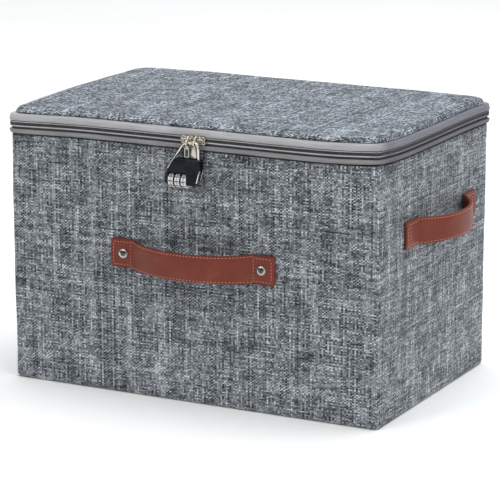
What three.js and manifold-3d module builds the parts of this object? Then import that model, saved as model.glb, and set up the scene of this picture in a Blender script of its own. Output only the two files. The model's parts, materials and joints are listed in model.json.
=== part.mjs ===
// Soft-sided, zip-lidded document box with leather handles and a three-dial padlock.
// Millimetres, +Z up. The origin is the centre of the underside; -Y is the front.
import * as THREE from 'three';
import { mergeVertices } from 'three/addons/utils/BufferGeometryUtils.js';
import Module from 'manifold-3d';

const wasm = await Module();
wasm.setup();

// ---------------------------------------------------------------- driving dimensions
const WIDTH = 400; // X, wall to wall
const DEPTH = 260; // Y, wall to wall
const CORNER_R = 6; // upright corners, in plan
const GAP = 0.3; // between pieces that touch

// Wall layers, from the outside in
const COVER_T = 1.6;
const BOARD_T = 3;
const WASHER_T = 1.1;
const INSULATION_T = 2;
const LINING_T = 1;

// Heights of the zip band and the lid
const RIM_Z = 251.6; // top edge of the fabric walls
const LOWER_BINDING_TOP = 256.4;
const ZIP_Z = 261.6; // line where the two coils meet
const UPPER_BINDING_Z = 264.7;
const UPPER_BINDING_TOP = 271.5;
const LID_TOP = 279;
const BAND_PROUD = 2; // how far the bindings stand out from the walls
const COIL_HALF_GAP = 0.5;
const COIL_H = 0.9;
const COIL_OUT = 0.9; // how far the coils stand out from the walls
const COIL_IN = 1.9;
const TAPE_OUT = 0.4; // depths of the tape's faces behind the wall's face
const TAPE_IN = 1.6;
const HINGE_STRIP_W = 340; // the zip stops where this strip of fabric hinges the lid
const HINGE_STRIP_T = 1.2;
const LID_ROLL = 5; // rounding of the lid's upper edge, in plan
const LID_RECESS = 8; // the lid's fabric is turned in this far over the foam
const FOAM_T = 2.5;
const INSERT_T = 2.5;

// Leather handles
const STRAP_T = 3;
const FRONT_HANDLE = {
  centre: 4, z: 142.5, width: 28, arch: 65, tab: 24, standOff: 28, rivet: 75,
};
const SIDE_HANDLE = {
  centre: 8, z: 176.5, width: 26, arch: 56, tab: 28, standOff: 26, rivet: null,
};
const ARCH_POWER = 2.4; // fullness of the strap's arch
const STRAP_REST = 2.4; // stand-off of the strap's middle line at its fold
const GRIP_STAND_OFF = 13; // the strap swings where it stands off more than this
const RIVET_R = 5;
const RIVET_SHANK_R = 1.5;

// Zip sliders and pulls
const SLIDER_L = 12.6;
const SLIDER_STAND_OFF = 2.4; // wall to the back of the front plate
const SLIDER_PLATE_T = 1.5;
const SLIDER_NOSE = 5; // half heights of the front plate
const SLIDER_TAIL = 3.8;
const INNER_PLATE = { nose: 2.5, tail: 2, front: 2.2, back: 3.6 }; // depths behind the wall's face
const POST = { from: 1, to: 4, half: 0.2 }; // runs between the two rows of teeth
const SLIDERS_MEET_X = 7.1;
const CROWN_Y = -136.8;
const CROWN_Z = 263;
const CROWN_R = 0.8;
const CROWN_FOOT = 0.7; // half thickness of the feet under the crown bar
const PULL_X = [3.3, 11.1];
const PULL_DROP = 18; // crown bar to the end of the tab
const PULL_W = 5.2;
const PULL_T = 1.6;
const PULL_EYE_R = 2.5; // round the crown bar
const PULL_HOOK_R = 2.9; // round the shackle
const PULL_NECK_W = 2.4;
const PULL_NECK_Z = -6.8; // the neck widens into the tab from here
const PULL_SHOULDER_Z = -8.4;
const PULL_FRAME = 1; // rim of the windowed pull

// Padlock
const SHACKLE_R = 1.2;
const SHACKLE_Y = -139.6;
const SHACKLE_TOP_Z = 259.6;
const LEG_X = 15.4; // long leg
const LEG_FOOT_Z = 230.9; // top of the leg's head
const CASE_TOP = 244.5;
const CASE_BOTTOM = 219;
const CASE_RIGHT = 18.4; // the right side is upright down to the taper
const CASE_TAPER = [236, 222]; // heights between which it slants inwards
const CASE_TAPER_IN = 3.8;
const CASE_LEFT = -17.2;
const CASE_SHOULDER_X = -7.3; // the left side slopes down from here
const CASE_T = 11.4;
const CASE_ROUND = 2;
const PLATE_FOOT_Z = 231.3; // the front plate ends here, above the dials
const RIB_R = 6.8;
const RIB_W = 1.5; // before the dial pockets trim it
const DIAL_X = [-11.6, -4.7, 2.2];
const DIAL_Z = 222.8;
const DIAL_R = 7.2;
const DIAL_W = 5.2;
const DIAL_CLEARANCE = 0.4;
const SPINDLE_R = 1.5;
const SPINDLE_L = 22;
const SPINDLE_BORE_L = 23;
const BUSH_Z = 239.3;
const BUSH_H = 4;
const BUSH_R = 2.05;
const LEG_HEAD = { radius: 1.8, height: 1.6 };
const CHANNEL = { radius: 1.55, bottom: 229, top: 249 }; // the long leg slides in it
const COUNTERBORE = { radius: 2.15, bottom: 229, top: 239.2 };
const BUSH_POCKET_R = 2.4;
const SIDE_PLATE = { thick: 0.9, width: 10, height: 12.8, rim: 2.6, foot: 2 };

// ---------------------------------------------------------------- worked out from them
const BOARD_OUT = COVER_T + GAP;
const BOARD_IN = BOARD_OUT + BOARD_T;
const INSULATION_OUT = BOARD_IN + 2 * GAP + WASHER_T;
const INSULATION_IN = INSULATION_OUT + INSULATION_T;
const LINING_OUT = INSULATION_IN + GAP;
const LINING_IN = LINING_OUT + LINING_T;
const FRONT_Y = -DEPTH / 2;

const colour = {
  fabric: [0x757a80, 0.95, 0],
  lidFabric: [0x828a94, 0.95, 0],
  binding: [0xafaeb2, 0.7, 0],
  tape: [0x9c9ca0, 0.8, 0],
  coil: [0x29292d, 0.45, 0],
  board: [0x6b5d4c, 0.9, 0],
  insulation: [0xe4e0d4, 0.95, 0],
  lining: [0xb9bcc0, 0.4, 0.6],
  foam: [0xd9d6cc, 0.95, 0],
  leather: [0x9c4b33, 0.55, 0],
  chrome: [0xc9c7c2, 0.18, 1],
  nickel: [0xc4bba8, 0.28, 1],
  lockBlack: [0x1b1d25, 0.4, 0.2],
  dial: [0xd4d4d2, 0.35, 0.4],
};

// ---------------------------------------------------------------- helpers
function mesh(name, geometry, [hex, roughness, metalness]) {
  const material = new THREE.MeshStandardMaterial({ color: hex, roughness, metalness });
  const result = new THREE.Mesh(geometry, material);
  result.name = name;
  return result;
}

function solid(geometry) {
  const bare = geometry.clone();
  bare.deleteAttribute('normal');
  bare.deleteAttribute('uv');
  const merged = mergeVertices(bare, 1e-4);
  return new wasm.Manifold(new wasm.Mesh({
    numProp: 3,
    vertProperties: new Float32Array(merged.attributes.position.array),
    triVerts: new Uint32Array(merged.index.array),
  }));
}

function geometryOf(body) {
  const cut = body.getMesh();
  const geometry = new THREE.BufferGeometry();
  geometry.setAttribute('position', new THREE.BufferAttribute(cut.vertProperties, 3));
  geometry.setIndex(new THREE.BufferAttribute(cut.triVerts, 1));
  return geometry;
}

const cutAway = (base, ...tools) => geometryOf(
  tools.reduce((body, tool) => body.subtract(solid(tool)), solid(base)),
);
const joined = (first, ...others) => geometryOf(
  others.reduce((body, other) => body.add(solid(other)), solid(first)),
);

// A box from its lowest corner to its highest.
function block([x0, y0, z0], [x1, y1, z1]) {
  return new THREE.BoxGeometry(x1 - x0, y1 - y0, z1 - z0)
    .translate((x0 + x1) / 2, (y0 + y1) / 2, (z0 + z1) / 2);
}

function rod(radius, length, axis, sides = 16) {
  const geometry = new THREE.CylinderGeometry(radius, radius, length, sides);
  if (axis === 'x') geometry.rotateZ(Math.PI / 2);
  if (axis === 'z') geometry.rotateX(Math.PI / 2);
  return geometry;
}

// The box's plan, set in from the wall's face by an offset.
function plan(offset, Outline = THREE.Shape) {
  const x = WIDTH / 2 - offset;
  const y = DEPTH / 2 - offset;
  const r = Math.max(CORNER_R - offset, 3);
  const shape = new Outline();
  shape.absarc(x - r, y - r, r, 0, Math.PI / 2);
  shape.absarc(r - x, y - r, r, Math.PI / 2, Math.PI);
  shape.absarc(r - x, r - y, r, Math.PI, 1.5 * Math.PI);
  shape.absarc(x - r, r - y, r, 1.5 * Math.PI, 2 * Math.PI);
  return shape;
}

function extrude(shape, low, high, options = {}) {
  const settings = { depth: high - low, bevelEnabled: false, curveSegments: 3, ...options };
  return new THREE.ExtrudeGeometry(shape, settings).translate(0, 0, low);
}

const plate = (offset, low, high) => extrude(plan(offset), low, high);

function ring(outer, inner, low, high) {
  const shape = plan(outer);
  shape.holes.push(plan(inner, THREE.Path));
  return extrude(shape, low, high);
}

const tub = (outer, inner, floorLow, floorHigh, top) => cutAway(
  plate(outer, floorLow, top),
  plate(inner, floorHigh, top + 1),
);

// An outline in X and Z, extruded along Y between two depths.
function upright(shape, front, back, options = {}) {
  const settings = { depth: back - front, bevelEnabled: false, curveSegments: 6, ...options };
  return new THREE.ExtrudeGeometry(shape, settings).rotateX(Math.PI / 2).translate(0, back, 0);
}

// ---------------------------------------------------------------- box body
function rivetHoles(length) {
  return [-1, 1].map((side) => rod(RIVET_SHANK_R + GAP, length, 'y', 12).translate(
    FRONT_HANDLE.centre + side * FRONT_HANDLE.rivet, FRONT_Y, FRONT_HANDLE.z,
  ));
}

function boxBody() {
  const group = new THREE.Group();
  const floor = COVER_T + GAP;
  const flatX = WIDTH / 2 - CORNER_R;
  const flatY = DEPTH / 2 - CORNER_R;
  const boardFace = [WIDTH / 2 - BOARD_OUT, WIDTH / 2 - BOARD_IN];
  const frontBoard = block(
    [-flatX, FRONT_Y + BOARD_OUT, floor],
    [flatX, FRONT_Y + BOARD_IN, RIM_Z],
  );
  const backBoard = block(
    [-flatX, -FRONT_Y - BOARD_IN, floor],
    [flatX, -FRONT_Y - BOARD_OUT, RIM_Z],
  );
  const sideBoard = (low, high) => block([low, -flatY, floor], [high, flatY, RIM_Z]);
  const baseTop = floor + BOARD_T;
  const feltTop = baseTop + GAP + INSULATION_T;
  const liningTop = feltTop + GAP + LINING_T;
  const wallTube = ring(0, COVER_T, floor, RIM_Z);
  group.add(
    mesh('body_cover', cutAway(wallTube, ...rivetHoles(8)), colour.fabric),
    mesh('bottom_cover', plate(0, 0, COVER_T), colour.fabric),
    mesh('front_board', cutAway(frontBoard, ...rivetHoles(14)), colour.board),
    mesh('back_board', backBoard, colour.board),
    mesh('left_board', sideBoard(-boardFace[0], -boardFace[1]), colour.board),
    mesh('right_board', sideBoard(boardFace[1], boardFace[0]), colour.board),
    mesh('base_board', plate(BOARD_IN + GAP, floor, baseTop), colour.board),
    mesh(
      'insulation_felt',
      tub(INSULATION_OUT, INSULATION_IN, baseTop + GAP, feltTop, RIM_Z),
      colour.insulation,
    ),
    mesh(
      'fire_resistant_lining',
      tub(LINING_OUT, LINING_IN, feltTop + GAP, liningTop, RIM_Z),
      colour.lining,
    ),
    mesh('base_insert', plate(LINING_IN + 1, liningTop + GAP, liningTop + GAP + INSERT_T), colour.lining),
  );
  return group;
}

// ---------------------------------------------------------------- zip band
const backOpening = () => block(
  [-HINGE_STRIP_W / 2 - 1, DEPTH / 2 - 12, 240],
  [HINGE_STRIP_W / 2 + 1, DEPTH / 2 + 12, 300],
);
const zipRun = (outer, inner, low, high) => cutAway(ring(outer, inner, low, high), backOpening());
const hingeLeaf = (low, high) => block(
  [-HINGE_STRIP_W / 2, DEPTH / 2 - HINGE_STRIP_T, low],
  [HINGE_STRIP_W / 2, DEPTH / 2, high],
);

function lowerBand() {
  const group = new THREE.Group();
  const coilTop = ZIP_Z - COIL_HALF_GAP;
  const coilLow = coilTop - COIL_H;
  group.add(
    mesh(
      'lower_binding',
      ring(-BAND_PROUD, LINING_IN, RIM_Z + GAP, LOWER_BINDING_TOP),
      colour.binding,
    ),
    mesh(
      'lower_zip_tape',
      zipRun(TAPE_OUT, TAPE_IN, LOWER_BINDING_TOP + GAP, coilLow - GAP),
      colour.tape,
    ),
    mesh('lower_zip_coil', zipRun(-COIL_OUT, COIL_IN, coilLow, coilTop), colour.coil),
    mesh('lower_hinge_leaf', hingeLeaf(LOWER_BINDING_TOP + GAP, ZIP_Z - GAP), colour.fabric),
  );
  return group;
}

// ---------------------------------------------------------------- lid
function lidCap() {
  const low = UPPER_BINDING_TOP + GAP;
  const roll = LID_TOP - low - 0.5;
  const depth = 2;
  const outer = new THREE.ExtrudeGeometry(plan(LID_ROLL), {
    depth, curveSegments: 3, bevelSegments: 3, bevelSize: LID_ROLL, bevelThickness: roll,
  }).translate(0, 0, LID_TOP - depth - roll);
  const below = block([-WIDTH, -DEPTH, low - 40], [WIDTH, DEPTH, low]);
  return cutAway(outer, below, plate(LID_RECESS, low - 1, low + FOAM_T + GAP));
}

function lid() {
  const group = new THREE.Group();
  const inside = LINING_IN + GAP;
  const coilLow = ZIP_Z + COIL_HALF_GAP;
  const coilTop = coilLow + COIL_H;
  const feltLow = UPPER_BINDING_Z + LINING_T + GAP;
  const boardLow = feltLow + INSULATION_T + GAP;
  const foamLow = UPPER_BINDING_TOP + GAP;
  group.add(
    mesh('lid_cover', lidCap(), colour.lidFabric),
    mesh('lid_foam', plate(LID_RECESS + GAP, foamLow, foamLow + FOAM_T), colour.foam),
    mesh('lid_board', plate(inside, boardLow, UPPER_BINDING_TOP), colour.board),
    mesh('lid_insulation', plate(inside, feltLow, feltLow + INSULATION_T), colour.insulation),
    mesh(
      'lid_lining',
      plate(inside, UPPER_BINDING_Z, UPPER_BINDING_Z + LINING_T),
      colour.lining,
    ),
    mesh(
      'upper_binding',
      ring(-BAND_PROUD, LINING_IN, UPPER_BINDING_Z, UPPER_BINDING_TOP),
      colour.binding,
    ),
    mesh('upper_zip_coil', zipRun(-COIL_OUT, COIL_IN, coilLow, coilTop), colour.coil),
    mesh(
      'upper_zip_tape',
      zipRun(TAPE_OUT, TAPE_IN, coilTop + GAP, UPPER_BINDING_Z - GAP),
      colour.tape,
    ),
    mesh('upper_hinge_leaf', hingeLeaf(ZIP_Z + GAP, UPPER_BINDING_Z - GAP), colour.fabric),
  );
  return group;
}

// ---------------------------------------------------------------- handles
// A handle lies on the plane y = 0, bows out towards -Y and runs along X.
function strapPoint({ arch, standOff }, x) {
  const u = Math.abs(x) / arch;
  const rise = standOff - STRAP_REST;
  const slope = (rise * ARCH_POWER * u ** (ARCH_POWER - 1)) / arch;
  return {
    middle: STRAP_REST + rise * (1 - u ** ARCH_POWER),
    half: (STRAP_T / 2) * Math.hypot(1, slope),
  };
}

function gripHalfLength({ arch, standOff }) {
  const fall = (standOff - GRIP_STAND_OFF) / (standOff - STRAP_REST);
  return arch * fall ** (1 / ARCH_POWER);
}

// The strap's edge-on outline between two stations, with an optional flat tab beyond the second.
function strapOutline(handle, from, to, steps, tabEnd = null) {
  const outer = [];
  const inner = [];
  for (let i = 0; i <= steps; i += 1) {
    const x = from + ((to - from) * i) / steps;
    const { middle, half } = strapPoint(handle, x);
    outer.push(new THREE.Vector2(x, middle + half));
    inner.push(new THREE.Vector2(x, Math.max(middle - half, GAP)));
  }
  if (tabEnd !== null) {
    const bend = to + Math.sign(tabEnd) * 2;
    outer.push(new THREE.Vector2(bend, STRAP_T + GAP), new THREE.Vector2(tabEnd, STRAP_T + GAP));
    inner.push(new THREE.Vector2(bend, GAP), new THREE.Vector2(tabEnd, GAP));
  }
  return new THREE.Shape([...outer, ...inner.reverse()]);
}

function strapPiece(handle, outline) {
  const half = handle.width / 2;
  const settings = { depth: handle.width, bevelEnabled: false };
  return new THREE.ExtrudeGeometry(outline, settings).scale(1, -1, 1).translate(0, 0, -half);
}

function flipped(geometry) {
  const order = geometry.index ? geometry : mergeVertices(geometry, 1e-5);
  const index = order.index.array;
  for (let i = 0; i < index.length; i += 3) [index[i], index[i + 1]] = [index[i + 1], index[i]];
  return order;
}

function strapHandle(name, handle) {
  const group = new THREE.Group();
  const cut = gripHalfLength(handle);
  const grip = strapPiece(handle, strapOutline(handle, GAP / 2 - cut, cut - GAP / 2, 18));
  group.add(mesh(`${name}_grip`, flipped(bare(grip)), colour.leather));
  for (const [label, side] of [['a', -1], ['b', 1]]) {
    const outline = strapOutline(
      handle,
      side * (cut + GAP / 2),
      side * handle.arch,
      5,
      side * (handle.arch + handle.tab),
    );
    let tab = flipped(bare(strapPiece(handle, outline)));
    if (handle.rivet) {
      const hole = rod(RIVET_SHANK_R + GAP, 12, 'y', 12).translate(side * handle.rivet, 0, 0);
      tab = cutAway(tab, hole);
      group.add(rivet(`${name}_rivet_${label}`, side * handle.rivet));
      group.add(rivetWasher(`${name}_rivet_washer_${label}`, side * handle.rivet));
    }
    group.add(mesh(`${name}_tab_${label}`, tab, colour.leather));
  }
  return group;
}

function bare(geometry) {
  const plain = geometry.clone();
  plain.deleteAttribute('normal');
  plain.deleteAttribute('uv');
  return mergeVertices(plain, 1e-4);
}

function rivet(name, x) {
  const seat = -(STRAP_T + 2 * GAP);
  const shankEnd = BOARD_IN + GAP + WASHER_T;
  const dome = [[0, 3], [2, 2.8], [3.6, 2.1], [4.6, 1.1], [RIVET_R, 0.3]] // radius, height
    .map(([r, high]) => [r, seat - high]);
  const profile = [
    ...dome, [RIVET_R, seat], [RIVET_SHANK_R, seat], [RIVET_SHANK_R, shankEnd], [0, shankEnd],
  ].map(([r, y]) => new THREE.Vector2(r, y));
  const result = mesh(name, new THREE.LatheGeometry(profile, 20), colour.chrome);
  result.position.x = x;
  return result;
}

function rivetWasher(name, x) {
  const disc = rod(RIVET_R, WASHER_T, 'y', 20);
  const bored = cutAway(disc, rod(RIVET_SHANK_R + GAP, 4, 'y', 12));
  const result = mesh(name, bored, colour.nickel);
  result.position.set(x, BOARD_IN + GAP + WASHER_T / 2, 0);
  return result;
}

function handles() {
  const group = new THREE.Group();
  const front = strapHandle('front_handle', FRONT_HANDLE);
  front.position.set(FRONT_HANDLE.centre, FRONT_Y, FRONT_HANDLE.z);
  const right = strapHandle('right_handle', SIDE_HANDLE);
  right.rotation.z = Math.PI / 2;
  right.position.set(WIDTH / 2, SIDE_HANDLE.centre, SIDE_HANDLE.z);
  const left = strapHandle('left_handle', SIDE_HANDLE);
  left.rotation.z = -Math.PI / 2;
  left.position.set(-WIDTH / 2, SIDE_HANDLE.centre, SIDE_HANDLE.z);
  group.add(front, right, left);
  return group;
}

// ---------------------------------------------------------------- zip sliders and pulls
// The slider's nose is at +X; its plates straddle the coils and a thin post runs between them.
function sliderPlate(nose, tail, front, back) {
  const half = SLIDER_L / 2;
  const waist = [1, 3]; // the flare from tail to nose
  const round = [1.5, 1.8]; // corners at the tail and at the nose
  const shape = new THREE.Shape();
  shape.moveTo(-half + round[0], -tail);
  shape.quadraticCurveTo(waist[0], -tail, waist[1], -nose);
  shape.lineTo(half - round[1], -nose);
  shape.quadraticCurveTo(half, -nose, half, -nose + round[1]);
  shape.lineTo(half, nose - round[1]);
  shape.quadraticCurveTo(half, nose, half - round[1], nose);
  shape.lineTo(waist[1], nose);
  shape.quadraticCurveTo(waist[0], tail, -half + round[0], tail);
  shape.quadraticCurveTo(-half, tail, -half, tail - round[0]);
  shape.lineTo(-half, round[0] - tail);
  shape.quadraticCurveTo(-half, -tail, -half + round[0], -tail);
  return upright(shape, front, back, { curveSegments: 3 });
}

function slider(name, x, turned) {
  const frontBack = FRONT_Y - SLIDER_STAND_OFF;
  const frontFace = frontBack - SLIDER_PLATE_T;
  const span = SLIDER_L / 2 - 1.5;
  const rise = CROWN_Z - ZIP_Z;
  const foot = (side) => block(
    [side * span - CROWN_FOOT, CROWN_Y, rise - CROWN_FOOT],
    [side * span + CROWN_FOOT, frontFace + 0.2, rise + CROWN_FOOT],
  );
  const { nose, tail, front, back } = INNER_PLATE;
  const body = joined(
    sliderPlate(SLIDER_NOSE, SLIDER_TAIL, frontFace, frontBack),
    sliderPlate(nose, tail, FRONT_Y + front, FRONT_Y + back),
    block([POST.from, frontBack - 0.5, -POST.half], [POST.to, FRONT_Y + front + 0.5, POST.half]),
    foot(-1),
    foot(1),
    rod(CROWN_R, 2 * (span + CROWN_FOOT), 'x', 10).translate(0, CROWN_Y, rise),
  );
  const result = mesh(name, turned ? body.scale(-1, 1, 1) : body, colour.nickel);
  if (turned) result.geometry = flipped(result.geometry);
  result.position.set(x, 0, ZIP_Z);
  return result;
}

// The pull hangs from the crown bar at its own origin; the shackle passes its second hole.
function pull(name, x, framed) {
  const holeY = SHACKLE_Y - CROWN_Y;
  const holeZ = SHACKLE_TOP_Z - CROWN_Z;
  const half = PULL_W / 2;
  const neck = PULL_NECK_W / 2;
  const thin = PULL_T / 2;
  const corner = 1.2;
  const blade = joined(
    rod(PULL_EYE_R, 2, 'x', 18),
    rod(PULL_HOOK_R, 2, 'x', 18).translate(0, holeY, holeZ),
    block([-1, holeY - thin, PULL_SHOULDER_Z - 0.6], [1, holeY + thin, holeZ - 2]),
  );
  const tab = new THREE.Shape();
  tab.moveTo(-neck, PULL_NECK_Z);
  tab.lineTo(-half, PULL_SHOULDER_Z);
  tab.lineTo(-half, corner - PULL_DROP);
  tab.quadraticCurveTo(-half, -PULL_DROP, corner - half, -PULL_DROP);
  tab.lineTo(half - corner, -PULL_DROP);
  tab.quadraticCurveTo(half, -PULL_DROP, half, corner - PULL_DROP);
  tab.lineTo(half, PULL_SHOULDER_Z);
  tab.lineTo(neck, PULL_NECK_Z);
  const open = half - PULL_FRAME;
  const window = block(
    [-open, holeY - 2, PULL_FRAME + 0.6 - PULL_DROP],
    [open, holeY + 2, PULL_SHOULDER_Z - PULL_FRAME],
  );
  const whole = solid(blade)
    .add(solid(upright(tab, holeY - thin, holeY + thin, { curveSegments: 3 })))
    .subtract(solid(rod(CROWN_R + 0.5, 4, 'x', 14)))
    .subtract(solid(rod(SHACKLE_R + 0.6, 4, 'x', 14).translate(0, holeY, holeZ)));
  const body = framed ? whole.subtract(solid(window)) : whole;
  const result = mesh(name, geometryOf(body), colour.nickel);
  result.position.set(x, CROWN_Y, CROWN_Z);
  return result;
}

function zipHardware() {
  const group = new THREE.Group();
  const reach = SLIDER_L / 2 + GAP / 2;
  group.add(
    slider('left_slider', SLIDERS_MEET_X - reach, false),
    slider('right_slider', SLIDERS_MEET_X + reach, true),
    pull('left_pull', PULL_X[0], true),
    pull('right_pull', PULL_X[1], false),
  );
  return group;
}

// ---------------------------------------------------------------- padlock
// The shackle's middle line, from the foot of the long leg over the top to the toe.
const SHACKLE_LINE = [
  [LEG_X, LEG_FOOT_Z - 1], [LEG_X, 235], [LEG_X, 241], [LEG_X, 250], [LEG_X - 0.1, 254.5],
  [LEG_X - 0.9, 257.7], [LEG_X - 3.3, SHACKLE_TOP_Z], [7, SHACKLE_TOP_Z + 0.1],
  [2.2, SHACKLE_TOP_Z - 0.1], [-1.6, 257], [-5.2, 251.6], [-9.4, 245.8], [-14, 239.4],
  [-17.4, 233.8],
];

function shackle() {
  const line = new THREE.CatmullRomCurve3(
    SHACKLE_LINE.map(([x, z]) => new THREE.Vector3(x, 0, z)),
    false,
    'centripetal',
  );
  const section = new THREE.Shape();
  section.absarc(0, 0, SHACKLE_R, 0, 2 * Math.PI);
  const wire = new THREE.ExtrudeGeometry(section, {
    steps: 48, bevelEnabled: false, extrudePath: line, curveSegments: 10,
  });
  const { radius, height } = LEG_HEAD;
  const head = rod(radius, height, 'z', 14).translate(LEG_X, 0, LEG_FOOT_Z - height / 2);
  const result = mesh('shackle', joined(wire, head), colour.nickel);
  result.position.y = SHACKLE_Y;
  return result;
}

// The case's outline, set in by the rounding that the extrusion adds.
function caseOutline() {
  const right = CASE_RIGHT - CASE_ROUND;
  const top = CASE_TOP - CASE_ROUND;
  const bottom = CASE_BOTTOM + CASE_ROUND;
  const foot = right - CASE_TAPER_IN;
  const [taperTop, taperEnd] = CASE_TAPER;
  const shape = new THREE.Shape();
  shape.moveTo(CASE_SHOULDER_X, top);
  shape.lineTo(right - 1, top);
  shape.quadraticCurveTo(right, top, right, top - 1);
  shape.lineTo(right, taperTop);
  shape.lineTo(foot, taperEnd);
  shape.quadraticCurveTo(foot - 0.3, bottom, foot - 1.4, bottom);
  shape.lineTo(CASE_LEFT + 2.7, bottom);
  shape.quadraticCurveTo(CASE_LEFT, bottom, CASE_LEFT, bottom + 2);
  shape.quadraticCurveTo(CASE_LEFT + 1, PLATE_FOOT_Z + 0.2, CASE_SHOULDER_X, top);
  return shape;
}

// Cuts the front away round the dials and sets a round rib between each two.
function ribbed(whole) {
  const left = DIAL_X[0] - DIAL_W / 2;
  const right = DIAL_X[2] + DIAL_W / 2;
  const plate = cutAway(whole, block([left, -20, 200], [right, 1, PLATE_FOOT_Z]));
  const ribs = [1, 2].flatMap((i) => {
    const middle = (DIAL_X[i - 1] + DIAL_X[i]) / 2;
    return [
      rod(RIB_R, RIB_W, 'x', 20).translate(middle, 0, DIAL_Z),
      block(
        [middle - RIB_W / 2, -5, DIAL_Z],
        [middle + RIB_W / 2, 1, PLATE_FOOT_Z + 1],
      ),
    ];
  });
  return joined(plate, ...ribs);
}

const upTo = ({ radius, bottom, top }) => rod(radius, top - bottom, 'z', 14)
  .translate(LEG_X, 0, (bottom + top) / 2);

function caseHalf(name, front) {
  const whole = new THREE.ExtrudeGeometry(caseOutline(), {
    depth: CASE_T - 2 * CASE_ROUND,
    curveSegments: 6,
    bevelSegments: 3,
    bevelSize: CASE_ROUND,
    bevelThickness: CASE_ROUND,
  }).translate(0, 0, CASE_ROUND).rotateX(Math.PI / 2).translate(0, CASE_T / 2, 0);
  const away = front ? [-GAP / 2, 20] : [-20, GAP / 2];
  const dialPockets = DIAL_X.map((x) => rod(
    DIAL_R + DIAL_CLEARANCE, DIAL_W + 2 * GAP, 'x', 24,
  ).translate(x, 0, DIAL_Z));
  const { radius, bottom } = CHANNEL;
  const channelMouth = block([LEG_X, -radius, bottom], [LEG_X + 8, radius, 260]);
  const bushPocket = rod(BUSH_POCKET_R, BUSH_H + 2 * GAP, 'z', 14)
    .translate(LEG_X, 0, BUSH_Z + BUSH_H / 2);
  const spindleBore = rod(SPINDLE_R + GAP, SPINDLE_BORE_L, 'x', 12)
    .translate(DIAL_X[1], 0, DIAL_Z);
  const cuts = [
    block([-40, away[0], 200], [40, away[1], 260]),
    ...dialPockets,
    upTo(CHANNEL),
    channelMouth,
    upTo(COUNTERBORE),
    bushPocket,
    spindleBore,
  ];
  const half = front ? cutAway(ribbed(whole), ...cuts) : cutAway(whole, ...cuts);
  const result = mesh(name, half, colour.lockBlack);
  result.position.y = SHACKLE_Y;
  return result;
}

// A thin U that lies on the slanted right side of the case.
function sidePlate() {
  const { thick, width, height, rim, foot } = SIDE_PLATE;
  const blank = block([-thick / 2, -width / 2, -height / 2], [thick / 2, width / 2, height / 2]);
  const opening = width / 2 - rim;
  const slot = block([-1, -opening, foot - height / 2], [1, opening, height]);
  const [taperTop, taperEnd] = CASE_TAPER;
  const slant = Math.atan(CASE_TAPER_IN / (taperTop - taperEnd));
  const out = CASE_ROUND + GAP + thick / 2;
  const result = mesh('lock_side_plate', cutAway(blank, slot).rotateY(slant), colour.nickel);
  result.position.set(
    CASE_RIGHT - CASE_ROUND - CASE_TAPER_IN / 2 + out * Math.cos(slant),
    SHACKLE_Y,
    (taperTop + taperEnd) / 2 - out * Math.sin(slant),
  );
  return result;
}

function dial(name, x) {
  const wheel = cutAway(rod(DIAL_R, DIAL_W, 'x', 20), rod(SPINDLE_R + GAP, 20, 'x', 12));
  const result = mesh(name, wheel, colour.dial);
  result.position.set(x, SHACKLE_Y, DIAL_Z);
  return result;
}

function padlock() {
  const group = new THREE.Group();
  const bore = rod(SHACKLE_R + GAP, 10, 'z', 14);
  const bush = mesh('shackle_bush', cutAway(rod(BUSH_R, BUSH_H, 'z', 14), bore), colour.nickel);
  bush.position.set(LEG_X, SHACKLE_Y, BUSH_Z + BUSH_H / 2);
  const spindle = mesh('dial_spindle', rod(SPINDLE_R, SPINDLE_L, 'x', 12), colour.nickel);
  spindle.position.set(DIAL_X[1], SHACKLE_Y, DIAL_Z);
  group.add(
    shackle(),
    caseHalf('lock_case_front', true),
    caseHalf('lock_case_back', false),
    sidePlate(),
    bush,
    spindle,
    ...DIAL_X.map((x, i) => dial(`dial_${i + 1}`, x)),
  );
  return group;
}

// ---------------------------------------------------------------- the whole box
const documentBox = new THREE.Group();
documentBox.add(boxBody(), lowerBand(), lid(), handles(), zipHardware(), padlock());

export default documentBox;
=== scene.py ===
"""A linen-covered document box with a zip lid, leather handles and a small padlock."""

import json
import math
from bisect import bisect_left

import bmesh
import bpy
from bpy.props import FloatProperty, FloatVectorProperty, IntProperty, PointerProperty
from mathutils import Matrix, Vector, noise


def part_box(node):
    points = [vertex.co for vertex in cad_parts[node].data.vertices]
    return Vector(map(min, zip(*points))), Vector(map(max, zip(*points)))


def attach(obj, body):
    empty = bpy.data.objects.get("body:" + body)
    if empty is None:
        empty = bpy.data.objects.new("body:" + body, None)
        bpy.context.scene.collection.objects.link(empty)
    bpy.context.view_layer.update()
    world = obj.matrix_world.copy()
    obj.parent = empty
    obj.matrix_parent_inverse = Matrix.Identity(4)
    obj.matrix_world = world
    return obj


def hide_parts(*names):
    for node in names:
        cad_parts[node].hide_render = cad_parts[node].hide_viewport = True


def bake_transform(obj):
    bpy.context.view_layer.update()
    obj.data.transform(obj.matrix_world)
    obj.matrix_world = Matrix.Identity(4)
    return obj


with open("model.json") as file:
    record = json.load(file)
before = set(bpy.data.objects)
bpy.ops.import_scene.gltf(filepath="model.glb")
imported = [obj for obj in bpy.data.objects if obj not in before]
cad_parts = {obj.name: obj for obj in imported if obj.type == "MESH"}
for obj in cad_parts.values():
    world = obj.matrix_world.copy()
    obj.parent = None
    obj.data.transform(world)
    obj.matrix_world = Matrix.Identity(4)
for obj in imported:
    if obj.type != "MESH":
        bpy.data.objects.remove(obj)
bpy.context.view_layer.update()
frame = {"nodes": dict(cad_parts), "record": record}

bl_info = {
    "name": "Document Box",
    "version": (1, 0, 0),
    "blender": (4, 5, 0),
    "location": "3D View > Sidebar > Document Box",
    "description": "Builds a linen-covered document box around its packed frame",
    "category": "Add Mesh",
}

MM = 0.001
UP = Vector((0, 0, 1))
BODY_OF = {
    node: body
    for body, nodes in frame["record"]["behaviour"]["bodies"].items()
    for node in nodes
}


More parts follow.
